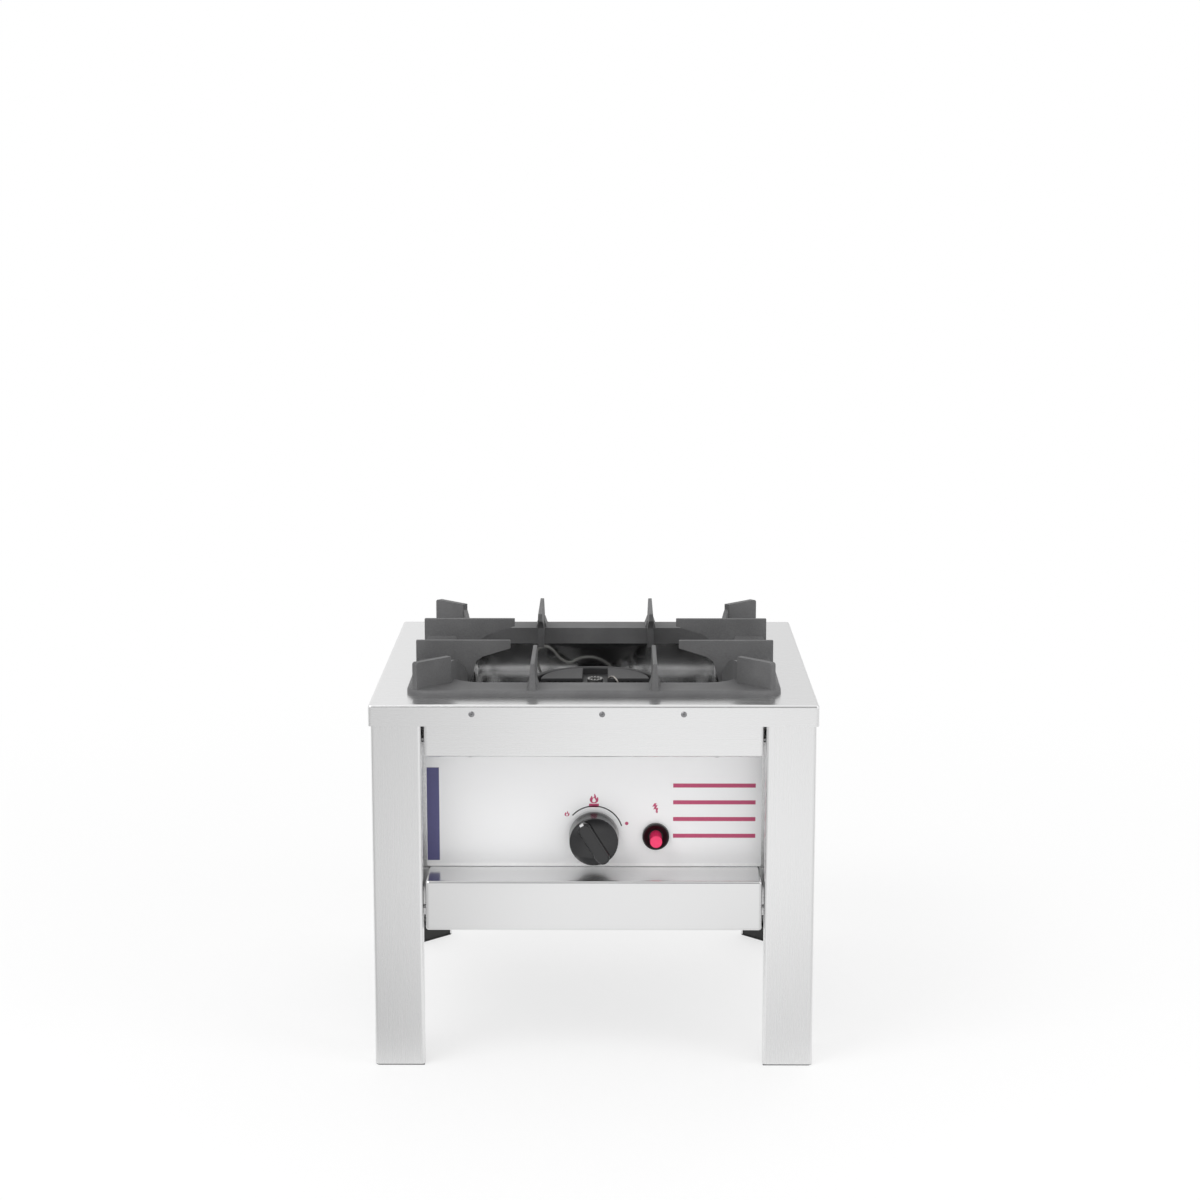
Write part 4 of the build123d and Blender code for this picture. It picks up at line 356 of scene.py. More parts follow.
def electrode_finish(name):
    """White ceramic below its top and bare wire above it."""
    finish = Finish(name)
    cloud = finish.even_noise(120.0, 3.0, 0.5)
    wire = finish.step(finish.axis("Z"), WIRE_START, WIRE_FULL)
    soot = finish.step(finish.axis("Z") + 0.004 * cloud, SOOT_START, SOOT_FULL)
    ceramic = finish.mix(0.35 * soot, (0.86, 0.85, 0.81, 1.0), (0.45, 0.42, 0.38, 1.0))
    return finish.surface(
        {
            "Base Color": finish.mix(wire, ceramic, (0.35, 0.33, 0.31, 1.0)),
            "Metallic": wire,
            "Roughness": 0.22 + 0.2 * cloud,
        }
    )


def probe_finish(name):
    """Copper lead below the pan floor and a bright steel probe above it."""
    finish = Finish(name)
    cloud = finish.even_noise(240.0, 3.0, 0.55)
    above = finish.step(finish.axis("Z"), PROBE_START, PROBE_FULL)
    steel = finish.mix(cloud, (0.55, 0.55, 0.55, 1.0), (0.68, 0.67, 0.66, 1.0))
    copper = finish.mix(cloud, (0.52, 0.28, 0.18, 1.0), (0.64, 0.37, 0.25, 1.0))
    return finish.surface(
        {
            "Base Color": finish.mix(above, copper, steel),
            "Metallic": 1.0,
            "Roughness": 0.24 + 0.12 * cloud,
        }
    )


def ink_and_painted_light(name, tone):
    """Screen-printed ink, slightly uneven; also used for painted shade and painted highlights."""
    finish = Finish(name)
    cloud = finish.even_noise(300.0, 3.0, 0.6)
    return finish.surface(
        {
            "Base Color": finish.mix(cloud, shade(tone, 0.92), shade(tone, 1.08)),
            "Roughness": 0.38 + 0.1 * cloud,
        }
    )


# Mesh tools


def add_piece(name, mesh, material, body="root"):
    """Links a finished mesh as a piece that rides on a body."""
    mesh.name = name
    piece = bpy.data.objects.new(name, mesh)
    bpy.context.scene.collection.objects.link(piece)
    if material:
        piece.data.materials.clear()
        piece.data.materials.append(material)
    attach(piece, body)
    return piece


def flat_curve(splines, thickness):
    """Mesh of a filled flat outline. A spline is (points, smooth)."""
    curve = bpy.data.curves.new("outline", "CURVE")
    curve.dimensions = "2D"
    curve.fill_mode = "BOTH"
    curve.extrude = thickness / 2
    curve.resolution_u = 10
    for points, smooth in splines:
        spline = curve.splines.new("BEZIER")
        spline.bezier_points.add(len(points) - 1)
        for handle, (x, y) in zip(spline.bezier_points, points):
            handle.co = (x, y, 0)
            handle.handle_left_type = "AUTO" if smooth else "VECTOR"
            handle.handle_right_type = "AUTO" if smooth else "VECTOR"
        spline.use_cyclic_u = True
    return mesh_from(curve)


def mesh_from(curve):
    """Plain mesh of curve data; the helper object is removed."""
    helper = bpy.data.objects.new("helper", curve)
    bpy.context.scene.collection.objects.link(helper)
    bpy.context.view_layer.update()
    settled = helper.evaluated_get(bpy.context.evaluated_depsgraph_get())
    mesh = bpy.data.meshes.new_from_object(settled)
    bpy.data.objects.remove(helper)
    return mesh


def on_panel(mesh, x, z, lift=0.0):
    """Stands a flat mesh up on the overlay's front, centred at x and z."""
    front = OVERLAY_LOW[1] - INK * 0.5 - lift
    mesh.transform(Matrix.Translation((x, front, z)) @ Matrix.Rotation(math.pi / 2, 4, "X"))
    return mesh


def joined(meshes):
    """One mesh from several."""
    merged = bmesh.new()
    for mesh in meshes:
        merged.from_mesh(mesh)
    result = bpy.data.meshes.new("joined")
    merged.to_mesh(result)
    merged.free()
    return result


def circle_points(radius, count=4):
    """Points for a round smooth outline."""
    turn = 2 * math.pi / count
    angles = [turn * step for step in range(count)]
    return [(radius * math.cos(a), radius * math.sin(a)) for a in angles]


def rectangle_points(width, height):
    """Corners of a rectangle round the origin."""
    return [
        (-width / 2, -height / 2),
        (width / 2, -height / 2),
        (width / 2, height / 2),
        (-width / 2, height / 2),
    ]


def arc_band(radius, width, start, end, steps=48):
    """Outline of a thin band along an arc, angles in degrees."""
    angles = [math.radians(start + (end - start) * step / steps) for step in range(steps + 1)]
    wide, narrow = radius + width / 2, radius - width / 2
    outer = [(wide * math.cos(a), wide * math.sin(a)) for a in angles]
    inner = [(narrow * math.cos(a), narrow * math.sin(a)) for a in angles]
    return outer + inner[::-1]


class Rule:
    """A Geometry Nodes tree with named inputs, used once and left as a plain mesh."""

    def __init__(self, name, **sizes):
        self.tree = bpy.data.node_groups.new(name, "GeometryNodeTree")
        sockets = self.tree.interface
        sockets.new_socket("Geometry", in_out="INPUT", socket_type="NodeSocketGeometry")
        sockets.new_socket("Geometry", in_out="OUTPUT", socket_type="NodeSocketGeometry")
        self.sizes = sizes
        for label, value in sizes.items():
            kind = "NodeSocketInt" if isinstance(value, int) else "NodeSocketFloat"
            sockets.new_socket(label, in_out="INPUT", socket_type=kind)
        sockets.new_socket("Material", in_out="INPUT", socket_type="NodeSocketMaterial")
        self.source = self.tree.nodes.new("NodeGroupInput").outputs

    def node(self, kind, settings=None, inputs=None, out=0):
        made = self.tree.nodes.new(kind)
        for name, value in (settings or {}).items():
            setattr(made, name, value)
        for name, value in (inputs or {}).items():
            for each in value if isinstance(value, list) else [value]:
                if isinstance(each, bpy.types.NodeSocket):
                    self.tree.links.new(each, made.inputs[name])
                else:
                    made.inputs[name].default_value = each
        return made.outputs[out]

    def sum(self, operation, first, second=0.0):
        return self.node("ShaderNodeMath", {"operation": operation}, {0: first, 1: second})

    def vector(self, x=0.0, y=0.0, z=0.0):
        return self.node("ShaderNodeCombineXYZ", inputs={0: x, 1: y, 2: z})

    def mesh(self, result, base, material):
        """Runs the tree on a base mesh and gives the realised result."""
        whole = self.node("GeometryNodeRealizeInstances", inputs={0: result})
        coat = {0: whole, "Material": self.source["Material"]}
        coated = self.node("GeometryNodeSetMaterial", inputs=coat)
        output = self.tree.nodes.new("NodeGroupOutput")
        self.tree.links.new(coated, output.inputs[0])
        helper = bpy.data.objects.new("helper", base)
        bpy.context.scene.collection.objects.link(helper)
        modifier = helper.modifiers.new("rule", "NODES")
        modifier.node_group = self.tree
        values = {**self.sizes, "Material": material}
        for item in self.tree.interface.items_tree:
            if item.in_out == "INPUT" and item.name in values:
                modifier[item.identifier] = values[item.name]
        bpy.context.view_layer.update()
        settled = helper.evaluated_get(bpy.context.evaluated_depsgraph_get())
        mesh = bpy.data.meshes.new_from_object(settled)
        bpy.data.objects.remove(helper)
        return mesh


def spots(places, tilts):
    """Points for instances, each with the turn that brings +Z to its outward side."""
    mesh = bpy.data.meshes.new("spots")
    mesh.from_pydata(places, [], [])
    turn = mesh.attributes.new("turn", "FLOAT_VECTOR", "POINT")
    for row, tilt in zip(turn.data, tilts):
        row.vector = tilt
    return mesh


def screw_heads(places, tilts, radius, height, material):
    """Domed screw heads with a cross recess, one at each place."""
    rule = Rule("screw_heads", Radius=radius, Height=height, Recess=0.3)
    source = rule.source
    ball = rule.node(
        "GeometryNodeMeshUVSphere", inputs={"Segments": 28, "Rings": 14, "Radius": source["Radius"]}
    )
    flat = rule.sum("DIVIDE", source["Height"], source["Radius"])
    squeeze = rule.vector(1.0, 1.0, flat)
    dome = rule.node("GeometryNodeTransform", inputs={0: ball, "Scale": squeeze})
    length = rule.sum("MULTIPLY", source["Radius"], 1.15)
    width = rule.sum("MULTIPLY", source["Radius"], source["Recess"])
    top = rule.vector(0.0, 0.0, source["Height"])
    arms = []
    for x, y in ((length, width), (width, length)):
        size = rule.vector(x, y, source["Height"])
        arm = rule.node("GeometryNodeMeshCube", inputs={"Size": size})
        arms.append(rule.node("GeometryNodeTransform", inputs={0: arm, "Translation": top}))
    cross = rule.node("GeometryNodeMeshBoolean", {"operation": "UNION"}, {1: arms})
    head = rule.node("GeometryNodeMeshBoolean", {"operation": "DIFFERENCE"}, {0: dome, 1: cross})
    smooth = rule.node("GeometryNodeSetShadeSmooth", inputs={0: head, "Shade Smooth": False})
    turn = rule.node(
        "GeometryNodeInputNamedAttribute", {"data_type": "FLOAT_VECTOR"}, {"Name": "turn"}
    )
    copies = rule.node(
        "GeometryNodeInstanceOnPoints",
        inputs={"Points": source["Geometry"], "Instance": smooth, "Rotation": turn},
    )
    return rule.mesh(copies, spots(places, tilts), material)


def port_shade_ring(radius, levels, count, size, material):
    """Rows of small dark discs round the burner's outer wall, painted shade that stands for the gas
    ports.
    """
    rule = Rule("port_shade_ring", Radius=radius, Count=count, Size=size)
    source = rule.source
    circle = rule.node(
        "GeometryNodeMeshCircle", inputs={"Vertices": source["Count"], "Radius": source["Radius"]}
    )
    rows = []
    for level in levels:
        lift = rule.vector(0.0, 0.0, level)
        rows.append(rule.node("GeometryNodeTransform", inputs={0: circle, "Translation": lift}))
    ring = rule.node("GeometryNodeJoinGeometry", inputs={0: rows})
    port = rule.node(
        "GeometryNodeMeshCylinder",
        inputs={"Vertices": 12, "Side Segments": 1, "Radius": source["Size"], "Depth": 0.2 * MM},
        out="Mesh",
    )
    place = rule.node("GeometryNodeInputPosition")
    outward = rule.node("ShaderNodeVectorMath", {"operation": "MULTIPLY"}, {0: place, 1: (1, 1, 0)})
    turn = rule.node("FunctionNodeAlignRotationToVector", {"axis": "Z"}, {"Vector": outward})
    copies = rule.node(
        "GeometryNodeInstanceOnPoints", inputs={"Points": ring, "Instance": port, "Rotation": turn}
    )
    return rule.mesh(copies, bpy.data.meshes.new("empty"), material)


def thread_ridges(radius, wire, pitch, count, material):
    """Even rings like the crests of a thread, from the origin along +Y."""
    rule = Rule("thread_ridges", Radius=radius, Wire=wire, Pitch=pitch, Count=count)
    source = rule.source
    path = rule.node(
        "GeometryNodeCurvePrimitiveCircle", inputs={"Resolution": 56, "Radius": source["Radius"]}
    )
    section = rule.node(
        "GeometryNodeCurvePrimitiveCircle", inputs={"Resolution": 8, "Radius": source["Wire"]}
    )
    ring = rule.node("GeometryNodeCurveToMesh", inputs={"Curve": path, "Profile Curve": section})
    upright = rule.node("GeometryNodeTransform", inputs={0: ring, "Rotation": (math.pi / 2, 0, 0)})
    line = rule.node(
        "GeometryNodeMeshLine",
        inputs={"Count": source["Count"], "Offset": rule.vector(0.0, source["Pitch"], 0.0)},
    )
    copies = rule.node("GeometryNodeInstanceOnPoints", inputs={"Points": line, "Instance": upright})
    return rule.mesh(copies, bpy.data.meshes.new("empty"), material)


def flame_outline(height):
    """Flame pictogram: three tongues over a round base, with a drop left clear inside."""
    outer = [(0.0, -0.5), (0.34, -0.4), (0.46, -0.1), (0.36, 0.16), (0.3, 0.02)]
    outer += [(0.2, 0.3), (0.04, 0.5), (0.02, 0.24), (-0.12, 0.1), (-0.22, 0.28)]
    outer += [(-0.36, 0.1), (-0.45, -0.14), (-0.33, -0.4)]
    inner = [(0.0, -0.4), (0.17, -0.3), (0.15, -0.12), (0.0, 0.06), (-0.15, -0.12), (-0.17, -0.3)]
    return [
        ([(x * height, y * height) for x, y in outer], True),
        ([(x * height, y * height) for x, y in inner], True),
    ]


def bolt_outline(height):
    """Spark pictogram: a bolt of two zigzags that runs to a point."""
    points = [(-0.1, 0.5), (-0.3, 0.16), (-0.06, 0.2), (-0.2, -0.1), (0.02, -0.05)]
    points += [(0.06, -0.34), (-0.04, -0.3), (0.18, -0.5), (0.26, -0.22), (0.19, -0.3)]
    points += [(0.26, 0.06), (0.06, 0.02), (0.22, 0.34), (0.02, 0.3), (0.12, 0.5)]
    return [([(x * height, y * height) for x, y in points], False)]


# Settings


class SteelSettings(bpy.types.PropertyGroup):
    tone: bpy.props.FloatVectorProperty(
        name="Sheet colour",
        description="Colour of the satin sheet steel",
        subtype="COLOR",
        default=(0.855, 0.855, 0.857),
        min=0.0,
        max=1.0,
    )
    roughness: bpy.props.FloatProperty(
        name="Satin",
        description="Roughness of the brushed sheets",
        default=0.27,
        min=0.05,
        max=1.0,
    )
    polish: bpy.props.FloatProperty(
        name="Pan polish",
        description="Roughness of the burner pan",
        default=0.03,
        min=0.02,
        max=1.0,
    )


class IronSettings(bpy.types.PropertyGroup):
    support_tone: bpy.props.FloatVectorProperty(
        name="Pan support colour",
        description="Colour of the coated cast iron",
        subtype="COLOR",
        default=(0.115, 0.115, 0.117),
        min=0.0,
        max=1.0,
    )
    burner_tone: bpy.props.FloatVectorProperty(
        name="Burner colour",
        description="Colour of the burner head",
        subtype="COLOR",
        default=(0.03, 0.03, 0.031),
        min=0.0,
        max=1.0,
    )


class PrintSettings(bpy.types.PropertyGroup):
    stripe_tone: bpy.props.FloatVectorProperty(
        name="Stripe colour",
        description="Colour of the upright stripe",
        subtype="COLOR",
        default=(0.095, 0.092, 0.225),
        min=0.0,
        max=1.0,
    )
    mark_tone: bpy.props.FloatVectorProperty(
        name="Mark colour",
        description="Colour of the red bars and pictograms",
        subtype="COLOR",
        default=(0.485, 0.062, 0.150),
        min=0.0,
        max=1.0,
    )
    arc_radius: bpy.props.FloatProperty(
        name="Dial arc",
        description="Radius of the arc round the knob",
        default=26.3 * MM,
        unit="LENGTH",
    )


class KnobSettings(bpy.types.PropertyGroup):
    tone: bpy.props.FloatVectorProperty(
        name="Knob colour",
        description="Colour of the knob and the igniter bezel",
        subtype="COLOR",
        default=(0.007, 0.007, 0.008),
        min=0.0,
        max=1.0,
    )
    button_tone: bpy.props.FloatVectorProperty(
        name="Button colour",
        description="Colour of the igniter button",
        subtype="COLOR",
        default=(0.80, 0.03, 0.13),
        min=0.0,
        max=1.0,
    )


class StageSettings(bpy.types.PropertyGroup):
    camera_place: bpy.props.FloatVectorProperty(
        name="Camera place",
        description="Where the camera stands",
        subtype="TRANSLATION",
        default=(0.0164, -2.4102, 0.8271),
    )
    camera_pitch: bpy.props.FloatProperty(
        name="Camera pitch",
        description="How far the camera looks down",
        subtype="ANGLE",
        default=math.radians(10.2),
    )
    focal_pixels: bpy.props.FloatProperty(
        name="Focal length",
        description="Focal length in pixels of the 1200 pixel frame",
        default=2560.0,
    )
    fade_start: bpy.props.FloatProperty(
        name="Fade start",
        description="Distance from the middle where the floor starts to fade to white",
        default=0.5,
        unit="LENGTH",
    )
    fade_end: bpy.props.FloatProperty(
        name="Fade end",
        description="Distance from the middle where the floor is white",
        default=1.5,
        unit="LENGTH",
    )
    floor_tone: bpy.props.FloatVectorProperty(
        name="Floor colour",
        description="Colour of the floor",
        subtype="COLOR",
        default=(0.93, 0.93, 0.93),
        min=0.0,
        max=1.0,
    )


class BurnerSettings(bpy.types.PropertyGroup):
    steel: bpy.props.PointerProperty(type=SteelSettings)
    iron: bpy.props.PointerProperty(type=IronSettings)
    prints: bpy.props.PointerProperty(type=PrintSettings)
    knob: bpy.props.PointerProperty(type=KnobSettings)
    stage: bpy.props.PointerProperty(type=StageSettings)


def dress(material, *nodes):
    """Gives CAD nodes a finish."""
    for name in nodes:
        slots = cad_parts[name].data.materials
        slots.clear()
        slots.append(material)


# Operators


class BURNER_OT_sheet_metal(bpy.types.Operator):
    """Finishes the sheets, rails, legs and the pan"""

    bl_idname = "burner.sheet_metal"
    bl_label = "Sheet metal"

    def execute(self, context):
        steel = context.scene.stool_burner.steel
        tone = steel.tone
        along_x = brushed_steel("steel_along_x", 0, tone, steel.roughness)
        along_y = brushed_steel("steel_along_y", 1, tone, steel.roughness)
        upright = brushed_steel("steel_upright", 2, tone, steel.roughness)
        shelf_tone = shade(tone, 0.93)
        shelf_x = brushed_steel("shelf_steel_x", 0, shelf_tone, steel.roughness - 0.09)
        shelf_y = brushed_steel("shelf_steel_y", 1, shelf_tone, steel.roughness - 0.09)
        dress(along_x, "top_plate", "upper_rail_front", "upper_rail_rear", "rear_panel")
        dress(along_x, "control_panel", "base_shield")
        dress(shelf_x, "lower_rail_front", "lower_rail_rear")
        dress(shelf_y, "lower_rail_left", "lower_rail_right")
        dress(along_y, "upper_rail_left", "upper_rail_right")
        dress(along_y, "side_panel_left", "side_panel_right")
        dress(upright, "leg_front_left", "leg_front_right", "leg_rear_left", "leg_rear_right")
        dress(machined_metal("gusset_steel", (0.5, 0.5, 0.5), 0.4), "corner_gussets")
        dress(overlay_film("overlay_film", (0.88, 0.88, 0.885)), "panel_overlay")
        dress(polished_steel("pan_polish", shade(tone, 0.76), steel.polish), "burner_pan")
        return {"FINISHED"}


class BURNER_OT_castings(bpy.types.Operator):
    """Finishes the pan support and the burner"""

    bl_idname = "burner.castings"
    bl_label = "Castings"

    def execute(self, context):
        iron = context.scene.stool_burner.iron
        dress(cast_iron("support_iron", iron.support_tone, 0.5, 1.0), "pan_support")
        dress(cast_iron("burner_iron", iron.burner_tone, 0.42, 0.7), "burner_head", "burner_body")
        dress(machined_metal("hub_metal", (0.30, 0.30, 0.295), 0.35), "burner_hub")
        dress(machined_metal("die_cast", (0.55, 0.55, 0.55), 0.45), "mixer_tube", "gas_valve_body")
        dress(machined_metal("bonnet_cast", (0.52, 0.52, 0.52), 0.42), "valve_bonnet")
        return {"FINISHED"}


class BURNER_OT_fittings(bpy.types.Operator):
    """Finishes the valve, pipes, electrodes and screws"""

    bl_idname = "burner.fittings"
    bl_label = "Fittings"

    def execute(self, context):
        brass = machined_metal("brass", BRASS_TONE, BRASS_ROUGHNESS)
        zinc = machined_metal("zinc_plate", (0.52, 0.52, 0.54), 0.32)
        turned = machined_metal("turned_steel", (0.56, 0.56, 0.56), 0.25)
        dress(brass, "valve_plug", "injector", "inlet_fitting", "inlet_locknut", "pipe_nuts")
        dress(brass, "neck_nut", "magnet_unit")
        dress(zinc, "skirt_screws", "panel_screws", "stand_screws", "burner_screws", "hub_bolt")
        dress(zinc, "bonnet_screws", "valve_screws", "shutter_clip", "electrode_bracket")
        dress(turned, "valve_spindle", "air_shutter", "gas_pipe", "push_spring", "igniter_spring")
        dress(turned, "burner_stand")
        dress(probe_finish("probe"), "thermocouple")
        dress(moulded_plastic("lead_silicone", (0.42, 0.42, 0.40), 0.5, 0.1), "ignition_lead")
        dress(moulded_plastic("grommet_rubber", (0.05, 0.05, 0.05), 0.6, 0.2), "lead_grommets")
        dress(moulded_plastic("foot_plastic", (0.014, 0.014, 0.014), 0.5, 0.3), "leg_feet")
        dress(electrode_finish("electrode"), "spark_electrode")
        return {"FINISHED"}


class BURNER_OT_controls(bpy.types.Operator):
    """Finishes the knob and the igniter"""

    bl_idname = "burner.controls"
    bl_label = "Controls"

    def execute(self, context):
        knob = context.scene.stool_burner.knob
        black = moulded_plastic("knob_plastic", knob.tone, 0.14, 0.03, 0.65)
        dress(black, "knob")
        bezel = moulded_plastic("bezel_plastic", knob.tone, 0.3, 0.03)
        dress(bezel, "igniter_body", "igniter_nut")
        dress(moulded_plastic("button_plastic", knob.button_tone, 0.18, 0.02), "igniter_button")
        return {"FINISHED"}


class BURNER_OT_panel_prints(bpy.types.Operator):
    """Prints the stripe, the bars and the dial on the overlay, and a painted highlight strip along
    its bottom edge
    """

    bl_idname = "burner.panel_prints"
    bl_label = "Panel prints"

    def execute(self, context):
        prints = context.scene.stool_burner.prints
        blue = ink_and_painted_light("stripe_ink", prints.stripe_tone)
        red = ink_and_painted_light("mark_ink", prints.mark_tone)
        grey = ink_and_painted_light("dial_ink", (0.010, 0.010, 0.012))
        stripe = flat_curve([(rectangle_points(*STRIPE_SIZE), False)], INK)
        self.print("stripe", on_panel(stripe, STRIPE_X, STRIPE_Z), blue)
        bars = []
        for row in range(BAR_COUNT):
            bar = flat_curve([(rectangle_points(*BAR_SIZE), False)], INK)
            bars.append(on_panel(bar, BAR_X, (BAR_TOP - BAR_STEP * row) * MM))
        self.print("bars", joined(bars), red)
        # Painted highlight: white ink along the overlay's bottom edge in place of the bright
        # reflection on the panel's lower fold
        painted_highlight_strip = flat_curve([(rectangle_points(*PAINTED_HIGHLIGHT_SIZE), False)], INK)
        white = ink_and_painted_light("painted_highlight_white", (0.93, 0.93, 0.93))
        self.print("painted_highlight_strip", on_panel(painted_highlight_strip, 0.0, OVERLAY_LOW[2] + PAINTED_HIGHLIGHT_LIFT), white)
        band = arc_band(prints.arc_radius, ARC_WIDTH, ARC_START, ARC_END)
        arc = flat_curve([(band, False)], INK)
        self.print("arc", on_panel(arc, DIAL_X, DIAL_Z + ARC_LIFT), grey)
        badge = [(rectangle_points(*BADGE_SIZE), False)]
        dot = [(circle_points(DOT), True)]
        marks = [
            on_panel(flat_curve(flame_outline(FLAME), INK), DIAL_X, FLAME_Z),
            on_panel(flat_curve(flame_outline(LOW_FLAME), INK), LOW_FLAME_X, LOW_FLAME_Z),
            on_panel(flat_curve(badge, INK), DIAL_X, BADGE_Z),
            on_panel(flat_curve(dot, INK), DOT_X, DOT_Z),
            on_panel(flat_curve(bolt_outline(BOLT), INK), IGNITER_X - BOLT_SHIFT, BOLT_Z),
        ]
        self.print("marks", joined(marks), red)
        return {"FINISHED"}

    def print(self, name, mesh, ink):
        add_piece(f"print_{name}", mesh, ink)


class BURNER_OT_fasteners(bpy.types.Operator):
    """Makes the domed screw heads on the skirt and under the upper rails"""

    bl_idname = "burner.fasteners"
    bl_label = "Fasteners"

    def execute(self, context):
        plated = machined_metal("screw_plate", (0.34, 0.34, 0.35), 0.3)
        low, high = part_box("skirt_screws")
        level = (low[2] + high[2]) / 2
        columns = (low[0] + SKIRT_HEAD, MIDDLE_SCREW_X, high[0] - SKIRT_HEAD)
        front = [(x, TOP_LOW[1], level) for x in columns]
        rear = [(x, TOP_HIGH[1], level) for x in columns]
        tilts = [(math.pi / 2, 0, 0)] * 3 + [(-math.pi / 2, 0, 0)] * 3
        heads = screw_heads(front + rear, tilts, SKIRT_HEAD, SKIRT_HEAD_HEIGHT, plated)
        piece = add_piece("skirt_screw_heads", heads, None)
        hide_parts("skirt_screws")
        low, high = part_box("panel_screws")
        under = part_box("upper_rail_front")[0][2]
        places = []
        for sign in (-1, 1):
            across = sign * RAIL_SCREW_REACH
            for along in (-RAIL_SCREW_ALONG, RAIL_SCREW_ALONG):
                places += [(along, across, under), (across, along, under)]
        tilts = [(math.pi, 0, 0)] * len(places)
        heads = screw_heads(places, tilts, RAIL_HEAD, RAIL_HEAD_HEIGHT, plated)
        piece = add_piece("rail_screw_heads", heads, None)
        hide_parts("panel_screws")
        return {"FINISHED"}


class BURNER_OT_ports(bpy.types.Operator):
    """Makes the rows of painted shade discs for the gas ports round the burner"""

    bl_idname = "burner.ports"
    bl_label = "Gas ports"

    def execute(self, context):
        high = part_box("burner_body")[1]
        # Painted shade: near-black discs in place of the shade inside the port holes
        port_shade = ink_and_painted_light("port_shadow", (0.006, 0.006, 0.006))
        rings = port_shade_ring(high[0], PORT_LEVELS, PORT_COUNT, PORT_RADIUS, port_shade)
        add_piece("burner_port_shade_discs", rings, None)
        return {"FINISHED"}


class BURNER_OT_threads(bpy.types.Operator):
    """Makes the thread crests on the gas inlet"""

    bl_idname = "burner.threads"
    bl_label = "Inlet threads"

    def execute(self, context):
        low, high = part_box("inlet_fitting")
        brass = machined_metal("thread_brass", BRASS_TONE, BRASS_ROUGHNESS)
        ridges = thread_ridges(CREST_RADIUS, CREST_WIRE, CREST_PITCH, CREST_COUNT, brass)
        middle = [(start + end) / 2 for start, end in zip(low, high)]
        ridges.transform(Matrix.Translation((middle[0], high[1] - CREST_REACH, middle[2])))
        add_piece("inlet_thread", ridges, None)
        return {"FINISHED"}


class BURNER_OT_pointer(bpy.types.Operator):
    """Makes the pale pointer mark on the grip of the knob, partly a pointer and partly a painted
    highlight on the grip's bevelled end
    """

    bl_idname = "burner.pointer"
    bl_label = "Pointer"

    def execute(self, context):
        mark = flat_curve([(rectangle_points(*POINTER_SIZE), False)], POINTER_THICKNESS)
        mark.transform(Matrix.Rotation(math.radians(POINTER_TILT), 4, "Y"))
        mark.transform(Matrix.Translation((POINTER_OUT, 0, -POINTER_LIFT)))
        mark.transform(Matrix.Rotation(math.radians(POINTER_TURN), 4, "Z"))
        mark.transform(Matrix.Rotation(math.pi / 2, 4, "X"))
        mark.transform(Matrix.Translation((DIAL_X, KNOB_LOW[1], DIAL_Z)))
        # Pale grey paint: partly the pointer's colour and partly a painted highlight where the
        # grip's bevelled end reflects light
        paint = ink_and_painted_light("pointer_paint_and_highlight", (0.62, 0.62, 0.62))
        add_piece("knob_pointer_and_highlight", mark, paint, "control_knob")
        return {"FINISHED"}


def area_lamp(name, place, aim, size, power):
    """A soft rectangular lamp aimed at a point."""
    data = bpy.data.lights.new(name, "AREA")
    data.shape = "RECTANGLE"
    data.size, data.size_y = size
    data.energy = power
    lamp = bpy.data.objects.new(name, data)
    lamp.location = place
    lamp.rotation_euler = (Vector(aim) - Vector(place)).to_track_quat("-Z", "Y").to_euler()
    bpy.context.scene.collection.objects.link(lamp)
    return lamp


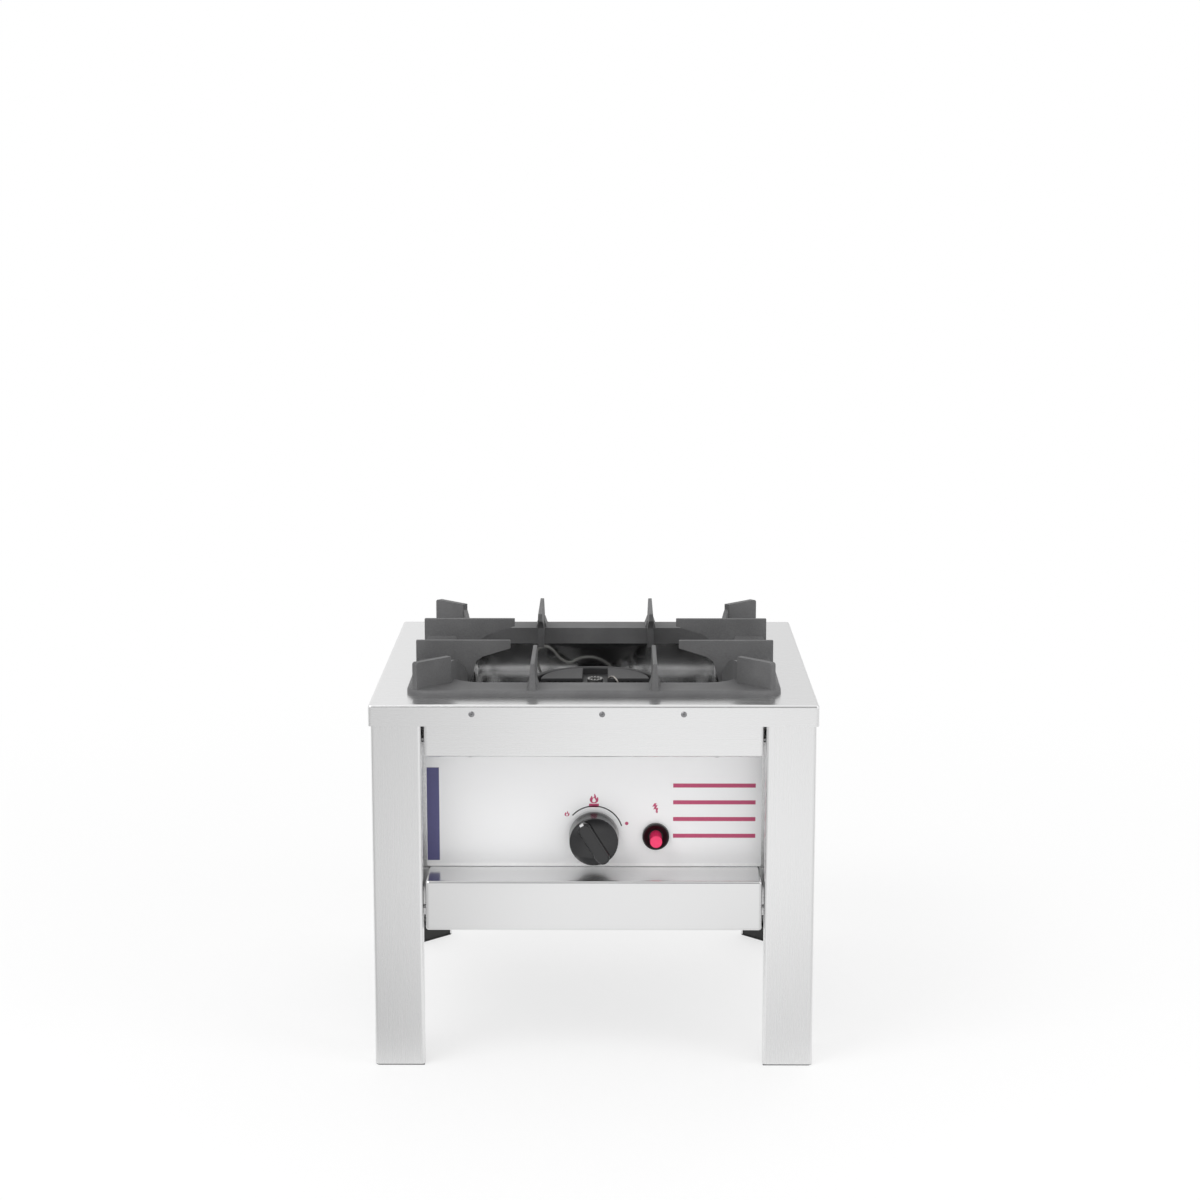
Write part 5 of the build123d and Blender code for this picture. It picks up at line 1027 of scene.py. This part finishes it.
class BURNER_OT_stage(bpy.types.Operator):
    """Sets the floor, the lamps, the background and the camera"""

    bl_idname = "burner.stage"
    bl_label = "Stage"

    def execute(self, context):
        stage = context.scene.stool_burner.stage
        scene = context.scene
        scene.view_settings.view_transform = "Standard"
        self.make_floor(stage)
        self.make_world(scene)
        for name, place, aim, size, power, mirrored in LAMPS:
            area_lamp(name, place, aim, size, power).visible_glossy = mirrored
        self.make_camera(scene, stage)
        return {"FINISHED"}

    def make_floor(self, stage):
        mesh = bpy.data.meshes.new("floor")
        span = 2 * FLOOR_REACH
        corners = [(x, y, 0) for x, y in rectangle_points(span, span)]
        mesh.from_pydata(corners, [], [(0, 1, 2, 3)])
        floor = bpy.data.objects.new("floor", mesh)
        bpy.context.scene.collection.objects.link(floor)
        finish = Finish("floor_white")
        cloud = finish.even_noise(2.0, 2.0, 0.5)
        away = finish.node(
            "ShaderNodeVectorMath", {"operation": "LENGTH"}, {0: finish.place}, "Value"
        )
        rays = finish.node("ShaderNodeLightPath", out="Is Camera Ray")
        shine = finish.node("ShaderNodeLightPath", out="Is Glossy Ray")
        seen = rays.most(shine)
        tone = stage.floor_tone
        tint = finish.mix(cloud, shade(tone, 0.995), shade(tone, 1.0))
        paint = finish.node("ShaderNodeBsdfDiffuse", inputs={0: tint})
        # Painted reflection shade: darker patches on the floor's glow in front of the object, seen
        # only by glossy rays, so the steel's reflections of the floor come out darker
        across = finish.axis("X")
        forward = 0.0 - finish.axis("Y")
        left = 0.55 * finish.step(0.0 - across, 0.02, 0.32)
        right = 0.22 * finish.step(across, 0.12, 0.45)
        close = 1.0 - finish.step(forward, 0.35, 0.9)
        near = close * (0.12 + 0.3 * finish.step(across * across, 0.005, 0.03))
        painted_reflection_shade = (left + right + near) * finish.step(forward, 0.1, 0.3) * shine
        colour = finish.mix(painted_reflection_shade, (1, 1, 1, 1), (0.3, 0.3, 0.3, 1))
        glow = finish.node("ShaderNodeEmission", inputs={"Color": colour, "Strength": 1.0})
        distance = finish.step(away, stage.fade_start, stage.fade_end)
        fade = (FLOOR_GLOW + (1.0 - FLOOR_GLOW) * distance) * seen
        finish.node_output(finish.node("ShaderNodeMixShader", inputs={0: fade, 1: paint, 2: glow}))
        mesh.materials.append(finish.material)

    def make_world(self, scene):
        world = bpy.data.worlds.new("studio")
        scene.world = world
        world.use_nodes = True
        sky = Studio(world.node_tree)
        seen = sky.node("ShaderNodeLightPath", out="Is Camera Ray")
        through = sky.node("ShaderNodeLightPath", out="Is Transmission Ray")
        shine = sky.node("ShaderNodeLightPath", out="Is Glossy Ray")
        height = sky.axis("Z")
        front = sky.axis("Y")
        side = sky.axis("X")
        ahead = sky.step(0.0 - front, -0.2, 0.25)
        leftward = sky.step(0.0 - side, 0.15, 0.5)
        band = sky.step(height, 0.07, 0.32) * (1.0 - 0.8 * sky.step(height, 0.5, 0.75))
        overhead = band * ahead * (1.0 - 0.55 * leftward)
        flank = sky.step(side, 0.12, 0.5) * (1.0 - sky.step(side, 0.86, 0.97)) * ahead
        behind = sky.step(front, 0.3, 0.7) * (0.1 + 0.14 * sky.step(side, -0.15, 0.15))
        mirrored = 1.0 - 0.88 * overhead - 0.2 * (1.0 - overhead) * flank - behind
        plain = seen.most(through)
        level = plain + (1.0 - plain) * (shine * mirrored + (1.0 - shine) * AMBIENT)
        colour = {"Color": (1, 1, 1, 1), "Strength": level}
        sky.world_output(sky.node("ShaderNodeBackground", inputs=colour))

    def make_camera(self, scene, stage):
        data = bpy.data.cameras.new("camera")
        data.sensor_width = SENSOR
        data.lens = stage.focal_pixels / PHOTO_WIDTH * SENSOR
        data.clip_end = 60.0
        camera = bpy.data.objects.new("camera", data)
        camera.location = stage.camera_place
        yaw = math.radians(CAMERA_YAW)
        camera.rotation_euler = (math.pi / 2 - stage.camera_pitch, 0, yaw)
        scene.collection.objects.link(camera)
        scene.camera = camera


STEPS = (
    BURNER_OT_sheet_metal,
    BURNER_OT_castings,
    BURNER_OT_fittings,
    BURNER_OT_controls,
    BURNER_OT_panel_prints,
    BURNER_OT_fasteners,
    BURNER_OT_ports,
    BURNER_OT_threads,
    BURNER_OT_pointer,
    BURNER_OT_stage,
)


class BURNER_PT_panel(bpy.types.Panel):
    """Lists the settings and steps of the stool burner"""

    bl_idname = "BURNER_PT_panel"
    bl_label = "Stool Burner"
    bl_space_type = "VIEW_3D"
    bl_region_type = "UI"
    bl_category = "Stool Burner"

    def draw(self, context):
        settings = context.scene.stool_burner
        for part in ("steel", "iron", "prints", "knob", "stage"):
            group = getattr(settings, part)
            box = self.layout.box()
            for name in group.__annotations__:
                box.prop(group, name)
        for step in STEPS:
            self.layout.operator(step.bl_idname)


CLASSES = (
    SteelSettings,
    IronSettings,
    PrintSettings,
    KnobSettings,
    StageSettings,
    BurnerSettings,
    *STEPS,
    BURNER_PT_panel,
)


def register():
    for kind in CLASSES:
        bpy.utils.register_class(kind)
    bpy.types.Scene.stool_burner = bpy.props.PointerProperty(type=BurnerSettings)


def unregister():
    del bpy.types.Scene.stool_burner
    for kind in reversed(CLASSES):
        bpy.utils.unregister_class(kind)


def main():
    register()
    bpy.ops.burner.stage()
    bpy.ops.burner.sheet_metal()
    bpy.ops.burner.castings()
    bpy.ops.burner.fittings()
    bpy.ops.burner.controls()
    bpy.ops.burner.panel_prints()
    bpy.ops.burner.fasteners()
    bpy.ops.burner.ports()
    bpy.ops.burner.threads()
    bpy.ops.burner.pointer()


if __name__ == "__main__":
    main()
